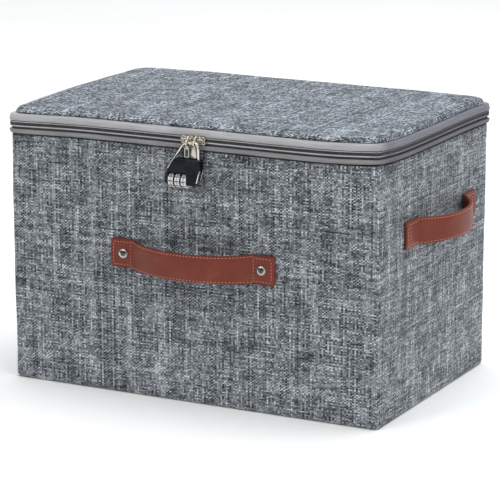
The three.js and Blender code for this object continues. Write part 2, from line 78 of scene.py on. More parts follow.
def corners(*nodes):
    """The lowest and highest corner of the box round several CAD nodes."""
    boxes = [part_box(node) for node in nodes]
    low = Vector([min(b[0][i] for b in boxes) for i in range(3)])
    high = Vector([max(b[1][i] for b in boxes) for i in range(3)])
    return low, high


WALL_LOW, WALL_HIGH = corners("body_cover", "bottom_cover")
LINING_LOW, LINING_HIGH = corners("fire_resistant_lining")
HALF_X = WALL_HIGH.x
HALF_Y = WALL_HIGH.y


# ------------------------------------------------------------------ settings
def srgb(*levels):
    """A linear colour from 0 to 255 display levels."""
    return tuple(
        level / 255 / 12.92 if level <= 10 else ((level / 255 + 0.055) / 1.055) ** 2.4
        for level in levels
    )


def length(label, text, default):
    return FloatProperty(name=label, description=text, default=default, unit="LENGTH", precision=5)


def tint(label, text, *levels):
    return FloatVectorProperty(
        name=label, description=text, default=srgb(*levels), subtype="COLOR", min=0, max=1,
    )


class BoxSizes(bpy.types.PropertyGroup):
    """Sizes that change the pieces."""
    corner: length("Corner radius", "Radius of the upright corners", 6 * MM)
    base_edge: length("Base edge", "Rounding of the fabric under the box", 4 * MM)
    softness: length("Wall softness", "How far the padded walls wander", 0.9 * MM)
    crown: length("Lid crown", "How far the lid's padding may rise", 2.2 * MM)
    lid_corner: length("Lid corner radius", "Radius of the pad's corners", 17 * MM)
    lid_roll: length("Lid roll", "Rounding of the pad's upper edge", 6.2 * MM)
    warp: length("Warp pitch", "Spacing of the upright yarns", 2.0 * MM)
    weft: length("Weft pitch", "Spacing of the level yarns", 1.5 * MM)
    tooth: length("Tooth pitch", "Spacing of one row of zip teeth", 1.6 * MM)
    stitch: length("Stitch pitch", "Spacing of the handle stitches", 3.4 * MM)
    stitch_inset: length("Stitch inset", "Stitch row to the strap's edge", 1.7 * MM)
    strap: length("Strap thickness", "Thickness of the leather strap", 2.7 * MM)
    digits: IntProperty(name="Digits", description="Faces on each dial", default=10, min=6, max=12)


class BoxColours(bpy.types.PropertyGroup):
    """Colours of the finishes."""
    yarn_dark: tint("Dark yarn", "Darkest yarn of the linen", 36, 40, 46)
    yarn_light: tint("Light yarn", "Lightest yarn of the linen", 226, 230, 234)
    binding: tint("Binding", "Webbing round the rims", 170, 169, 172)
    tape: tint("Zip tape", "Tape beside the coil", 44, 44, 47)
    coil: tint("Zip coil", "Nylon teeth", 40, 40, 44)
    leather: tint("Leather", "Handle straps", 112, 48, 33)
    leather_dark: tint("Leather edge", "Painted strap edges", 84, 34, 24)
    thread: tint("Thread", "Handle stitching", 192, 116, 80)
    nickel: tint("Nickel", "Zip metal", 205, 198, 184)
    chrome: tint("Chrome", "Rivets and shackle", 222, 220, 216)
    enamel: tint("Enamel", "Padlock case", 9, 11, 16)
    dial: tint("Dials", "Padlock dials", 222, 222, 220)
    lining: tint("Lining", "Silver fire-resistant cloth", 186, 188, 190)


def sizes():
    return bpy.context.scene.document_box_sizes


def colours():
    return bpy.context.scene.document_box_colours


# ------------------------------------------------------------------ materials
BLACK = (0, 0, 0)
WHITE = (1, 1, 1)


def mixed(a, b, share):
    return tuple(x * (1 - share) + y * share for x, y in zip(a, b))


def shade(tone, share):
    """A colour made darker by a negative share, or paler by a positive one."""
    return mixed(tone, BLACK if share < 0 else WHITE, abs(share))


def shades(tone, *stops):
    """Ramp stops of one colour, each given by its place and its share darker or paler."""
    return [(place, shade(tone, share)) for place, share in stops]


class Signal:
    """A node socket that arithmetic can be written on."""

    def __init__(self, graph, socket):
        self.graph = graph
        self.socket = socket

    def math(self, operation, *others):
        sockets = dict(enumerate((self, *others)))
        return self.graph.node("ShaderNodeMath", {"operation": operation}, sockets)

    def ripple(self, pitch):
        """A sine wave along this signal."""
        return (self * (2 * math.pi / pitch)).math("SINE")

    def __add__(self, other):
        return self.math("ADD", other)

    def __sub__(self, other):
        return self.math("SUBTRACT", other)

    def __mul__(self, other):
        return self.math("MULTIPLY", other)

    def __truediv__(self, other):
        return self.math("DIVIDE", other)

    def __rsub__(self, other):
        return self * -1 + other

    def __gt__(self, other):
        return self.math("GREATER_THAN", other)

    __radd__ = __add__
    __rmul__ = __mul__


class Graph:
    """The node tree of one finish, ending in a Principled shader."""

    def __init__(self, name, constants=None):
        self.material = bpy.data.materials.new(name)
        self.material.use_nodes = True
        self.tree = self.material.node_tree
        self.shader = self.tree.nodes["Principled BSDF"]
        for socket, value in (constants or {}).items():
            self.feed(socket, value)

    def feed(self, name, value):
        """Sets a socket of the shader to a value, or links a signal to it."""
        self._set(self.shader.inputs[name], value)

    def _set(self, socket, value):
        if isinstance(value, Signal):
            self.tree.links.new(value.socket, socket)
        elif socket.type == "RGBA":
            socket.default_value = (*value, 1)[:4]
        else:
            socket.default_value = value

    def node(self, kind, settings=None, sockets=None, output=0):
        """Adds a node, sets its settings, then its sockets, and gives one output."""
        node = self.tree.nodes.new(kind)
        for key, value in (settings or {}).items():
            if key == "stops":
                set_stops(node.color_ramp, value)
            else:
                setattr(node, key, value)
        for key, value in (sockets or {}).items():
            self._set(node.inputs[key], value)
        return Signal(self, node.outputs[output])

    def axes(self, vector, count=3):
        """The first parts of a vector, each as a signal."""
        return [self.node("ShaderNodeSeparateXYZ", None, {0: vector}, i) for i in range(count)]

    def uv(self):
        pair = self.node("ShaderNodeUVMap", {"uv_map": "weave"})
        return pair, *self.axes(pair, 2)

    def place(self):
        return self.node("ShaderNodeTexCoord", output=3)

    def vector(self, x, y, z=0.0):
        return self.node("ShaderNodeCombineXYZ", None, {0: x, 1: y, 2: z})

    def clouds(self, vector, scale, detail=2.0, roughness=0.5):
        sockets = {"Vector": vector, "Scale": scale, "Detail": detail, "Roughness": roughness}
        return self.node("ShaderNodeTexNoise", None, sockets)

    def cells(self, vector, scale, feature="F1"):
        sockets = {"Vector": vector, "Scale": scale}
        return self.node("ShaderNodeTexVoronoi", {"feature": feature}, sockets)

    def chance(self, value, dimensions="1D"):
        """A random level for each whole number, or for each pair of them."""
        settings = {"noise_dimensions": dimensions}
        socket = "W" if dimensions == "1D" else "Vector"
        return self.node("ShaderNodeTexWhiteNoise", settings, {socket: value})

    def blend(self, factor, low, high, how="MIX"):
        settings = {"data_type": "RGBA", "blend_type": how}
        return self.node("ShaderNodeMix", settings, {0: factor, 6: low, 7: high}, 2)

    def ramp(self, value, *stops):
        return self.node("ShaderNodeValToRGB", {"stops": stops}, {0: value})

    def between(self, value, low, high):
        """Stretches a value to the range from low to high, clamped at 0 and 1 before."""
        sockets = {"Value": value, "To Min": low, "To Max": high}
        return self.node("ShaderNodeMapRange", {"clamp": True}, sockets)

    def bump(self, height, distance, strength=1.0):
        sockets = {"Height": height, "Distance": distance, "Strength": strength}
        self.feed("Normal", self.node("ShaderNodeBump", None, sockets))


def set_stops(ramp, stops):
    while len(ramp.elements) < len(stops):
        ramp.elements.new(0.5)
    for element, (place, colour) in zip(ramp.elements, stops):
        element.position = place
        element.color = (*colour, 1)


def linen(name, cast, fleck, light_and_shade_stretches):
    """Plain weave of heathered yarns: dark upright warp and light level weft.

    The cast tints the yarns, and fleck is how much each crossing differs from the next. The
    stretches of painted light and shade are (signal, from, to, gain) where the fabric is lighter or
    darker.
    """
    look = colours()
    pitch = sizes()
    wander = 1.5 * MM
    g = Graph(name, {
        "Roughness": 0.92, "Sheen Weight": 0.08, "Sheen Roughness": 0.6, "Specular IOR Level": 0.2,
    })
    pair, u, v = g.uv()
    across = (u + (g.clouds(pair, 75, 3.0) - 0.5) * wander) / pitch.warp
    level = (v + (g.clouds(g.vector(v, u), 85, 3.0) - 0.5) * wander) / pitch.weft
    column = across.math("FLOOR")
    row = level.math("FLOOR")
    warp_lift = (level + column).ripple(2)
    weft_lift = (across + row).ripple(2) * -1
    thick = g.clouds(pair, 210) - 0.5
    warp_height = (across - column).ripple(2) * (warp_lift * 0.45 + 0.55 + thick * 0.5)
    weft_height = (level - row).ripple(2) * (weft_lift * 0.45 + 0.55 - thick * 0.5)
    height = warp_height.math("MAXIMUM", weft_height)

    cell = g.chance(g.vector(column, row), "2D")
    heather = (g.clouds(pair, 38, 3.0, 0.6) - 0.5) * 0.7 + (cell - 0.5) * fleck
    warp_slub = g.clouds(g.vector(column * 7.3, v * 22), 1.0, 4.0, 0.72) - 0.5
    weft_slub = g.clouds(g.vector(u * 44, row * 5.7, 4.0), 1.0, 4.0, 0.7) - 0.5
    warp_shade = (g.chance(column) - 0.5) * 0.42 + warp_slub * 2.4 + 0.38 + heather
    weft_shade = (g.chance(row + 57) - 0.5) * 0.3 + weft_slub * 2.1 + 0.56 + heather
    dark, light = (
        tuple(level * share for level, share in zip(yarn, cast))
        for yarn in (look.yarn_dark, look.yarn_light)
    )
    tones = [(place, mixed(dark, light, share))
             for place, share in ((0.0, 0.0), (0.35, 0.16), (0.7, 0.5), (1.0, 1.0))]
    yarn = g.blend(
        weft_height > warp_height, g.ramp(warp_shade, *tones), g.ramp(weft_shade, *tones))
    fibre = g.clouds(pair, 3500, 1.0)
    # painted shade in the gaps between the yarns, times a fine fibre tone
    light_level = g.between(height, 0.46, 1.0) * g.between(fibre, 0.8, 1.2)
    # the stretches of painted light and shade
    for place, start, stop, gain in light_and_shade_stretches(u, v):
        light_level = light_level * g.between((place - start) / (stop - start), 1.0, gain)
    level_colour = g.vector(light_level, light_level, light_level)
    g.feed("Base Color", g.blend(1.0, yarn, level_colour, "MULTIPLY"))
    g.bump(height + fibre * 0.15, 0.5 * MM, 0.75)
    return g.material


def wall_wear(u, v):
    """Painted shade in the seam under the rim's binding and a little darker towards the rim, and
    painted light towards the floor.
    """
    rim = WALL_HIGH.z
    return [
        # painted shade under the binding, painted shade towards the rim, then painted light towards
        # the floor
        (v, rim - 2.6 * MM, rim - 0.6 * MM, 0.34), (v, rim - 90 * MM, rim - 5 * MM, 0.94),
        (v, 120 * MM, 15 * MM, 1.13),
    ]


def lid_wear(u, v):
    """Painted highlight along the pad's rolled edges, and painted shade in the seam below."""
    return [
        (place.math("ABSOLUTE"), half + start * MM, half + stop * MM, gain)
        for place, half in ((u, HALF_X), (v, HALF_Y))
        # painted highlight on the roll, then painted shade in the seam below it
        for start, stop, gain in ((-7, -1, 1.12), (3, 6.2, 0.5))
    ]


def webbing(name, depth):
    """Smooth ribbed binding tape, painted darker by the depth, with painted violet shade along the
    box's right side.
    """
    tone = shade(colours().binding, -depth)
    g = Graph(name, {"Roughness": 0.72, "Sheen Weight": 0.1})
    u, v = g.uv()[1:]
    rib = u.ripple(0.9 * MM) * 0.5 + 0.5
    thread = v.ripple(0.7 * MM) * 0.5 + 0.5
    drift = g.clouds(g.vector(u * 30, v * 400), 1.0, 3.0)
    woven = g.ramp(drift + rib * 0.06, *shades(tone, (0.25, -0.22), (0.75, 0.1)))
    run = wall_run()
    right_side = run.flat_x * 3 + run.flat_y * 2 + run.arc * 2.5
    # painted shade: the tape is multiplied darker and violet along the box's right side
    right_side_shade = (0.4, 0.395, 0.46)
    webbing_shade = g.ramp(u / run.total, *(
        ((right_side + step * MM) / run.total, colour)
        for step, colour in ((-9, WHITE), (14, right_side_shade), (250, right_side_shade), (275, WHITE))
    ))
    g.feed("Base Color", g.blend(1.0, woven, webbing_shade, "MULTIPLY"))
    g.bump(rib * 0.6 + thread * 0.4 + drift, 0.12 * MM, 0.6)
    return g.material


def tape(name):
    """Dark woven zip tape with a herringbone rib."""
    g = Graph(name, {"Roughness": 0.85})
    u, v = g.uv()[1:]
    rib = (u + v.math("ABSOLUTE") * 0.8).ripple(0.8 * MM)
    stops = shades(colours().tape, (0.2, -0.35), (0.9, 0.08))
    g.feed("Base Color", g.ramp(rib * 0.5 + 0.5, *stops))
    g.bump(rib, 0.08 * MM, 0.6)
    return g.material


def leather(name):
    """Red-brown pebbled leather, darker at the painted edges; v runs across the strap."""
    tone, edge = colours().leather, colours().leather_dark
    g = Graph(name, {"Specular IOR Level": 0.28})
    pair, u, v = g.uv()
    pebble = g.cells(pair, 900)
    crease = g.cells(g.vector(u * 0.6, v), 380, "DISTANCE_TO_EDGE")
    patch = g.clouds(pair, 45, 4.0, 0.6)
    body = g.ramp(
        patch + pebble * 0.12,
        (0.3, mixed(tone, edge, 0.4)), (0.6, tone), (0.85, mixed(tone, (1, 0.7, 0.5), 0.03)),
    )
    rim = g.between((v.math("ABSOLUTE") - 12.6 * MM) / (1.2 * MM), 0.0, 0.8)
    g.feed("Base Color", g.blend(rim, body, edge))
    g.feed("Roughness", g.between(patch, 0.38, 0.56))
    g.bump(pebble * 0.5 + crease.math("MINIMUM", 0.25) * 1.6 + patch * 0.8, 0.22 * MM, 0.7)
    return g.material


def plated(name, tone, smooth, rough):
    """Plated metal with faint handling marks."""
    g = Graph(name, {"Metallic": 1.0})
    point = g.place()
    smear = g.clouds(point, 160, 3.0)
    scratch = g.clouds(point, 2200, 2.0, 0.7)
    g.feed("Base Color", g.ramp(smear, *shades(tone, (0.25, -0.14), (0.75, 0))))
    g.feed("Roughness", g.between(smear * 0.6 + scratch * 0.4, smooth, rough))
    g.bump(scratch, 0.03 * MM, 0.4)
    return g.material


def rivet_chrome(name):
    """Chrome with a painted reflection: a dark dome and a bright rim, its dark middle a little to the
    right.
    """
    g = Graph(name, {"Metallic": 1.0})
    point = g.place()
    x, _, z = g.axes(point)
    ends = [corners(f"front_handle_rivet_{half}") for half in ("a", "b")]
    left, right = [(low + high) / 2 for low, high in ends]
    from_middle = x - (left.x + right.x) / 2
    beside = from_middle.math("ABSOLUTE") - (right.x - left.x) / 2
    across = beside * from_middle.math("SIGN") - 0.9 * MM
    above = z - left.z - 0.5 * MM
    reach = (across * across + above * above).math("SQRT") / (5 * MM)
    # painted reflection: near black over the dome, full chrome near the rim, darker again at its very
    # edge
    g.feed("Base Color", g.ramp(reach, *shades(
        colours().chrome, (0.0, -0.93), (0.5, -0.86), (0.72, -0.25), (0.86, 0), (1.0, -0.6))))
    g.feed("Roughness", g.between(g.clouds(point, 900), 0.1, 0.24))
    return g.material


def silver_cloth(name):
    """Silver-coated glass cloth: fine square weave under a soft metallic coat, with creases."""
    g = Graph(name, {"Metallic": 0.45})
    point = g.place()
    grid = [axis.ripple(1.3 * MM) for axis in g.axes(point)]
    weave = grid[0] * grid[1] + grid[1] * grid[2] + grid[0] * grid[2]
    crease = g.clouds(point, 26, 5.0, 0.62)
    stops = shades(colours().lining, (0.3, -0.26), (0.7, 0.1))
    g.feed("Base Color", g.ramp(crease * 0.5 + weave * 0.08 + 0.25, *stops))
    g.feed("Roughness", g.between(crease, 0.36, 0.6))
    g.bump(crease * 9 + weave * 0.7, 0.25 * MM, 0.9)
    return g.material


def fibrous(name, dark, light, scale, rough, depth):
    """Fibreboard or felt: a fine mottled grain."""
    g = Graph(name, {"Roughness": rough})
    point = g.place()
    grain = g.clouds(point, scale, 5.0, 0.65)
    fleck = g.cells(point, scale * 3)
    g.feed("Base Color", g.ramp(grain + fleck * 0.15, (0.3, dark), (0.75, light)))
    g.bump(grain + fleck * 0.3, depth, 0.7)
    return g.material


def mottled(name, stops, scale, detail, rough, grain=None, constants=None):
    """A finish whose colour drifts in clouds, and its roughness too where that is a pair.

    The grain is the scale, detail, depth and strength of its bump.
    """
    g = Graph(name, constants)
    point = g.place()
    drift = g.clouds(point, scale, detail)
    g.feed("Base Color", g.ramp(drift, *stops))
    g.feed("Roughness", g.between(drift, *rough) if isinstance(rough, tuple) else rough)
    if grain:
        fineness, layers, depth, strength = grain
        g.bump(g.clouds(point, fineness, layers), depth, strength)
    return g.material


def twisted(name, tone, darkest, rough, depth):
    """Sewing thread."""
    stops = shades(tone, (0.3, darkest), (0.7, 0.12))
    return mottled(name, stops, 2600, 1.0, rough, (2600, 1.0, depth, 1.0))


def enamel(name):
    """Satin black enamel with a blue cast and a fine orange-peel surface."""
    tone = colours().enamel
    stops = ((0.3, shade(tone, -0.3)), (0.75, mixed(tone, (0.25, 0.3, 0.45), 0.05)))
    peel = (1100, 2.0, 0.06 * MM, 0.5)
    return mottled(name, stops, 120, 3.0, (0.34, 0.5), peel, {"Specular IOR Level": 0.13})


MAKERS = {
    "linen": lambda name: linen(name, (0.96, 1.0, 1.02), 0.46, wall_wear),
    "lid_linen": lambda name: linen(name, (0.85, 0.9, 0.97), 0.8, lid_wear),
    "webbing": lambda name: webbing(name, 0.0),
    # the lower binding's copy of the webbing, painted darker as painted shade
    "low_webbing": lambda name: webbing(name, 0.52),
    "tape": tape,
    "nylon": lambda name: mottled(
        name, shades(colours().coil, (0.3, -0.3), (0.75, 0.1)), 700, 3.0, (0.32, 0.55)),
    "leather": leather,
    "thread": lambda name: twisted(name, colours().thread, -0.3, 0.6, 0.1 * MM),
    "pale_thread": lambda name: twisted(
        name, shade(colours().binding, -0.2), -0.25, 0.65, 0.08 * MM),
    "nickel": lambda name: plated(name, colours().nickel, 0.2, 0.4),
    "chrome": lambda name: plated(name, colours().chrome, 0.08, 0.2),
    "rivet_chrome": rivet_chrome,
    "enamel": enamel,
    "dial_face": lambda name: mottled(
        name, shades(colours().dial, (0.3, -0.25), (0.62, 0)), 420, 3.0, (0.28, 0.45),
        (1800, 2.0, 0.03 * MM, 0.5)),
    # dark print of the digits, and the painted shade of the dials' grooves
    "ink": lambda name: mottled(
        name, ((0.3, srgb(38, 38, 42)), (0.8, srgb(78, 78, 84))), 1500, 2.0, 0.6),
    "silver_cloth": silver_cloth,
    "fibreboard": lambda name: fibrous(
        name, srgb(98, 84, 66), srgb(142, 124, 98), 260, 0.85, 0.1 * MM),
    "felt": lambda name: fibrous(
        name, srgb(205, 202, 192), srgb(238, 236, 228), 520, 0.95, 0.3 * MM),
    "floor_paint": lambda name: mottled(
        name, ((0.3, srgb(243, 243, 243)), (0.7, srgb(246, 246, 246))), 3, 2.0, 0.9),
}
FINISHES = {}


def finish(name):
    """The named finish, made the first time that it is asked for."""
    if name not in FINISHES:
        FINISHES[name] = MAKERS[name](name)
    return FINISHES[name]


# ------------------------------------------------------------------ mesh helpers
def mesh_from(bm, name):
    """Turns a bmesh into a mesh, and frees it."""
    mesh = bpy.data.meshes.new(name)
    bm.to_mesh(mesh)
    bm.free()
    return mesh


def add_object(name, data):
    thing = bpy.data.objects.new(name, data)
    bpy.context.scene.collection.objects.link(thing)
    return thing


def piece_from(bm, name, finish_name, sharp=35):
    """Makes an object of a bmesh, smooth except at edges sharper than the angle."""
    piece = add_object(name, mesh_from(bm, name))
    piece.data.materials.append(finish(finish_name))
    smooth(piece.data, sharp)
    return piece


def smooth(mesh, sharp):
    mesh.polygons.foreach_set("use_smooth", [True] * len(mesh.polygons))
    mesh.set_sharp_from_angle(angle=math.radians(sharp))


def modify(piece, kind, **settings):
    modifier = piece.modifiers.new(kind.title(), kind)
    for key, value in settings.items():
        setattr(modifier, key, value)
    return modifier


def settle(piece):
    """Applies the piece's modifiers to its mesh."""
    graph = bpy.context.evaluated_depsgraph_get()
    graph.update()
    mesh = bpy.data.meshes.new_from_object(piece.evaluated_get(graph), depsgraph=graph)
    piece.modifiers.clear()
    piece.data = mesh


def round_off(bm, edges, radius, segments):
    bmesh.ops.bevel(
        bm, geom=edges, offset=radius, offset_type="OFFSET", segments=segments,
        profile=0.5, affect="EDGES", material=-1, clamp_overlap=True,
    )


def slab(low, high, corner, base=0.0, top=0.0, segments=8):
    """A box with rounded upright corners and, if asked, rounded base and top edges."""
    bm = bmesh.new()
    place = Matrix.Translation((low + high) / 2) @ Matrix.Diagonal((*(high - low), 1))
    bmesh.ops.create_cube(bm, size=1, matrix=place)
    upright = [e for e in bm.edges if abs(e.verts[0].co.z - e.verts[1].co.z) > 1e-6]
    round_off(bm, upright, corner, segments)
    for level, radius, parts in ((low.z, base, 4), (high.z, top, 5)):
        if radius:
            rim = [e for e in bm.edges if all(abs(v.co.z - level) < 1e-6 for v in e.verts)]
            round_off(bm, rim, radius, parts)
    return bm


def open_top(bm):
    bmesh.ops.delete(bm, geom=[f for f in bm.faces if f.normal.z > 0.9], context="FACES_ONLY")


def thicken(piece, thickness):
    """Gives a sheet its thickness inwards, and softens it."""
    modify(piece, "SOLIDIFY", thickness=thickness, offset=-1)
    modify(piece, "SUBSURF", levels=1, render_levels=1)


def cut(bm, point, normal, **settings):
    """Cuts the whole mesh by a plane."""
    everything = bm.verts[:] + bm.edges[:] + bm.faces[:]
    bmesh.ops.bisect_plane(
        bm, geom=everything, dist=1e-6, plane_co=point, plane_no=normal, **settings)


def slice_up(bm, low, high, steps):
    """Cuts the mesh across each axis that has a step, so that it can bend there."""
    for axis, step in enumerate(steps):
        count = max(1, round((high[axis] - low[axis]) / step))
        normal = Matrix.Identity(3)[axis]
        for i in range(1, count):
            cut(bm, low + (high - low) * (i / count), normal)


class WallRun:
    """The rounded plan outline, measured anticlockwise from the middle of the back."""

    def __init__(self, half_x, half_y, corner):
        self.corner = corner
        self.flat_x = half_x - corner
        self.flat_y = half_y - corner
        self.arc = corner * math.pi / 2
        self.total = 4 * (self.flat_x + self.flat_y + self.arc)

    def spans(self):
        """Lengths of the straight and curved stretches in turn, curved ones marked."""
        a, b, arc = self.flat_x, self.flat_y, self.arc
        return [
            (a, False), (arc, True), (2 * b, False), (arc, True), (2 * a, False),
            (arc, True), (2 * b, False), (arc, True), (a, False),
        ]

    def stations(self, start, stop, step):
        """Distances from start to stop: evenly spaced on the flats, closer round the corners."""
        places = [start]
        done = 0.0
        for span, curved in self.spans():
            parts = 6 if curved else max(1, round(span / step))
            places += [done + span * (i + 1) / parts for i in range(parts)]
            done += span
        inside = [place for place in places if start < place < stop - 1e-6]
        return [start, *inside, stop]

    def frame(self, distance):
        """The place at a distance: x points outwards, y along the run, z up."""
        left = distance % self.total
        place = Vector((0, self.flat_y + self.corner, 0))
        heading = math.pi
        for span, curved in self.spans():
            step = min(left, span)
            if curved:
                outward = Vector((math.sin(heading), -math.cos(heading), 0))
                centre = place - outward * self.corner
                heading += step / self.corner
                outward = Vector((math.sin(heading), -math.cos(heading), 0))
                place = centre + outward * self.corner
            else:
                place = place + Vector((math.cos(heading), math.sin(heading), 0)) * step
            left -= step
            if left <= 1e-9:
                break
        turn = Matrix.Rotation(heading - math.pi / 2, 4, "Z")
        return Matrix.Translation(place) @ turn

    def along(self, x, y):
        """The distance of the point of the run that is nearest to a place."""
        a, b = self.flat_x, self.flat_y
        core_x = min(max(x, -a), a)
        core_y = min(max(y, -b), b)
        angle = math.atan2(core_x - x, y - core_y) % (2 * math.pi)
        if angle < 1e-6 and x > 0:
            angle = 2 * math.pi
        quarter = int(angle / (math.pi / 2) + 0.5)
        shift = (-core_x, -core_y, core_x, core_y, -core_x)[quarter]
        return quarter * (a + b) + shift + self.corner * angle


def wall_run():
    return WallRun(HALF_X, HALF_Y, sizes().corner)


def wrap_uv(piece, run, flat_below=None):
    """Unrolls a piece round the walls: u along the run, v up and then inwards, in metres."""
    mesh = piece.data
    layer = mesh.uv_layers.new(name="weave")
    for face in mesh.polygons:
        centre = run.along(face.center.x, face.center.y)
        for loop in face.loop_indices:
            co = mesh.vertices[mesh.loops[loop].vertex_index].co
            if flat_below is not None and face.normal.z < -0.7 and face.center.z < flat_below:
                layer.data[loop].uv = (co.x, co.y)
                continue
            u = run.along(co.x, co.y)
            if u - centre > run.total / 2:
                u -= run.total
            elif centre - u > run.total / 2:
                u += run.total
            reach = max(abs(co.x) - HALF_X, abs(co.y) - HALF_Y)
            layer.data[loop].uv = (u, co.z - reach)


def sweep(profile, run, start, stop):
    """Carries a closed profile of (outward, up) points along the run, and closes its ends.

    With no stop it goes all the way round.
    """
    bm = bmesh.new()
    closed = stop is None
    stations = run.stations(start, run.total if closed else stop, 8 * MM)
    here = run.frame(stations[0])
    ring = [bm.verts.new(here @ Vector((n, 0, z))) for n, z in profile]
    edges = [bm.edges.new((v, ring[(i + 1) % len(ring)])) for i, v in enumerate(ring)]
    if not closed:
        bm.faces.new(ring)
    for place in stations[1:]:
        there = run.frame(place)
        grown = bmesh.ops.extrude_edge_only(bm, edges=edges)["geom"]
        verts = [g for g in grown if isinstance(g, bmesh.types.BMVert)]
        edges = [g for g in grown if isinstance(g, bmesh.types.BMEdge)]
        bmesh.ops.transform(bm, matrix=there @ here.inverted(), verts=verts)
        here = there
    if closed:
        bmesh.ops.remove_doubles(bm, verts=bm.verts, dist=1e-5)
    else:
        bmesh.ops.contextual_create(bm, geom=edges)
    bmesh.ops.recalc_face_normals(bm, faces=bm.faces)
    return bm


def soften(bm, amount, scale, seed, hold=lambda co: 1.0):
    """Moves each point along its normal by smooth noise, less where hold is small."""
    bm.normal_update()
    moves = [
        v.normal * (noise.noise(v.co * scale + Vector((seed, 0, 0))) * amount * hold(v.co))
        for v in bm.verts
    ]
    for v, move in zip(bm.verts, moves):
        v.co += move


SETTLED_CORNERS = (
    # the corner's side in x and y, how far it is drawn in along x and y, its lift, the lift's reach
    (1, -1, 3.0 * MM, 3.0 * MM, 2.4 * MM, 42 * MM),
    (-1, -1, -0.6 * MM, -0.6 * MM, -2.4 * MM, 55 * MM),
    (1, 1, -1.3 * MM, 0.4 * MM, -0.8 * MM, 42 * MM),
    (-1, 1, 0.6 * MM, 0.6 * MM, -1.2 * MM, 60 * MM),
)
CORNER_REACH = 17 * MM


def settled(co):
    """Where a point of the soft lid and zip band comes to rest: each corner is a little different."""
    moved = co.copy()
    for side_x, side_y, drawn_x, drawn_y, lifted, spread in SETTLED_CORNERS:
        away = Vector((side_x * HALF_X - co.x, side_y * HALF_Y - co.y, 0)).length
        near = math.exp(-((away / CORNER_REACH) ** 2))
        wide = math.exp(-((away / spread) ** 2))
        moved -= Vector((side_x * drawn_x, side_y * drawn_y, 0)) * near
        moved.z += wide * lifted
    return moved


def settle_verts(verts):
    for v in verts:
        v.co = settled(v.co)


def follow_rim(verts):
    """The walls' fabric rises with the band above it, and is drawn in a third as far."""
    fade = 45 * MM
    for v in verts:
        share = max(0.0, 1 - (WALL_HIGH.z - v.co.z) / fade)
        share *= share
        moved = settled(v.co) - v.co
        v.co += Vector((moved.x * 0.35, moved.y * 0.35, moved.z)) * share


def stamp(bm, pattern, matrices):
    """Adds a copy of a small mesh at each matrix."""
    for matrix in matrices:
        first = len(bm.verts)
        bm.from_mesh(pattern)
        bm.verts.ensure_lookup_table()
        bmesh.ops.transform(bm, matrix=matrix, verts=bm.verts[first:])


def bead(size, lean=0.0):
    """The pattern of a stitch or a zip tooth: a small hump, leaning about X."""
    bm = bmesh.new()
    shape = Matrix.Rotation(lean, 4, "X") @ Matrix.Diagonal((*(side / 2 for side in size), 1))
    bmesh.ops.create_uvsphere(bm, u_segments=8, v_segments=6, radius=1, matrix=shape)
    return mesh_from(bm, "bead")


def polished(node, finish_name, edge, sharp=32, work=None):
    """A finer copy of a CAD node, merged and with its sharp edges rounded, in its place.

    The work is a function that shapes the merged mesh further, before its edges are rounded.
    """
    bm = bmesh.new()
    bm.from_mesh(frame["nodes"][node].data)
    bmesh.ops.remove_doubles(bm, verts=bm.verts, dist=1e-6)
    bmesh.ops.dissolve_limit(bm, angle_limit=math.radians(1), verts=bm.verts, edges=bm.edges)
    if work:
        work(bm)
    if edge:
        keen = [
            e for e in bm.edges
            if e.is_manifold and e.calc_face_angle(0) > math.radians(sharp)
        ]
        round_off(bm, keen, edge, 2)
    piece = piece_from(bm, f"{node}_piece", finish_name)
    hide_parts(node)
    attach(piece, BODY_OF[node])


class Builds:
    """What every operator of this add-on shares."""
    bl_options = {"REGISTER", "UNDO"}


# ------------------------------------------------------------------ fabric
class BodyFabric(Builds, bpy.types.Operator):
    """Linen over the four walls and under the base"""
    bl_idname = "document_box.body_fabric"
    bl_label = "Body fabric"

    def execute(self, context):
        setting = sizes()
        bm = slab(WALL_LOW, WALL_HIGH, setting.corner, base=setting.base_edge, segments=10)
        open_top(bm)
        slice_up(bm, WALL_LOW, WALL_HIGH, (14 * MM, 14 * MM, 12 * MM))
        rim = WALL_HIGH.z

        def hold(co):
            """The base stays flat, and the rim stays under its binding."""
            return min(1.0, co.z / (30 * MM)) * min(1.0, (rim - co.z) / (25 * MM))

        soften(bm, setting.softness, 14, 3.0, hold)
        soften(bm, setting.softness * 0.35, 42, 9.0, hold)
        piece = piece_from(bm, "body_fabric", "linen")
        wrap_uv(piece, wall_run(), flat_below=1 * MM)
        follow_rim(piece.data.vertices)
        thicken(piece, 1.4 * MM)
        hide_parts("body_cover", "bottom_cover")
        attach(piece, "box")
        return {"FINISHED"}


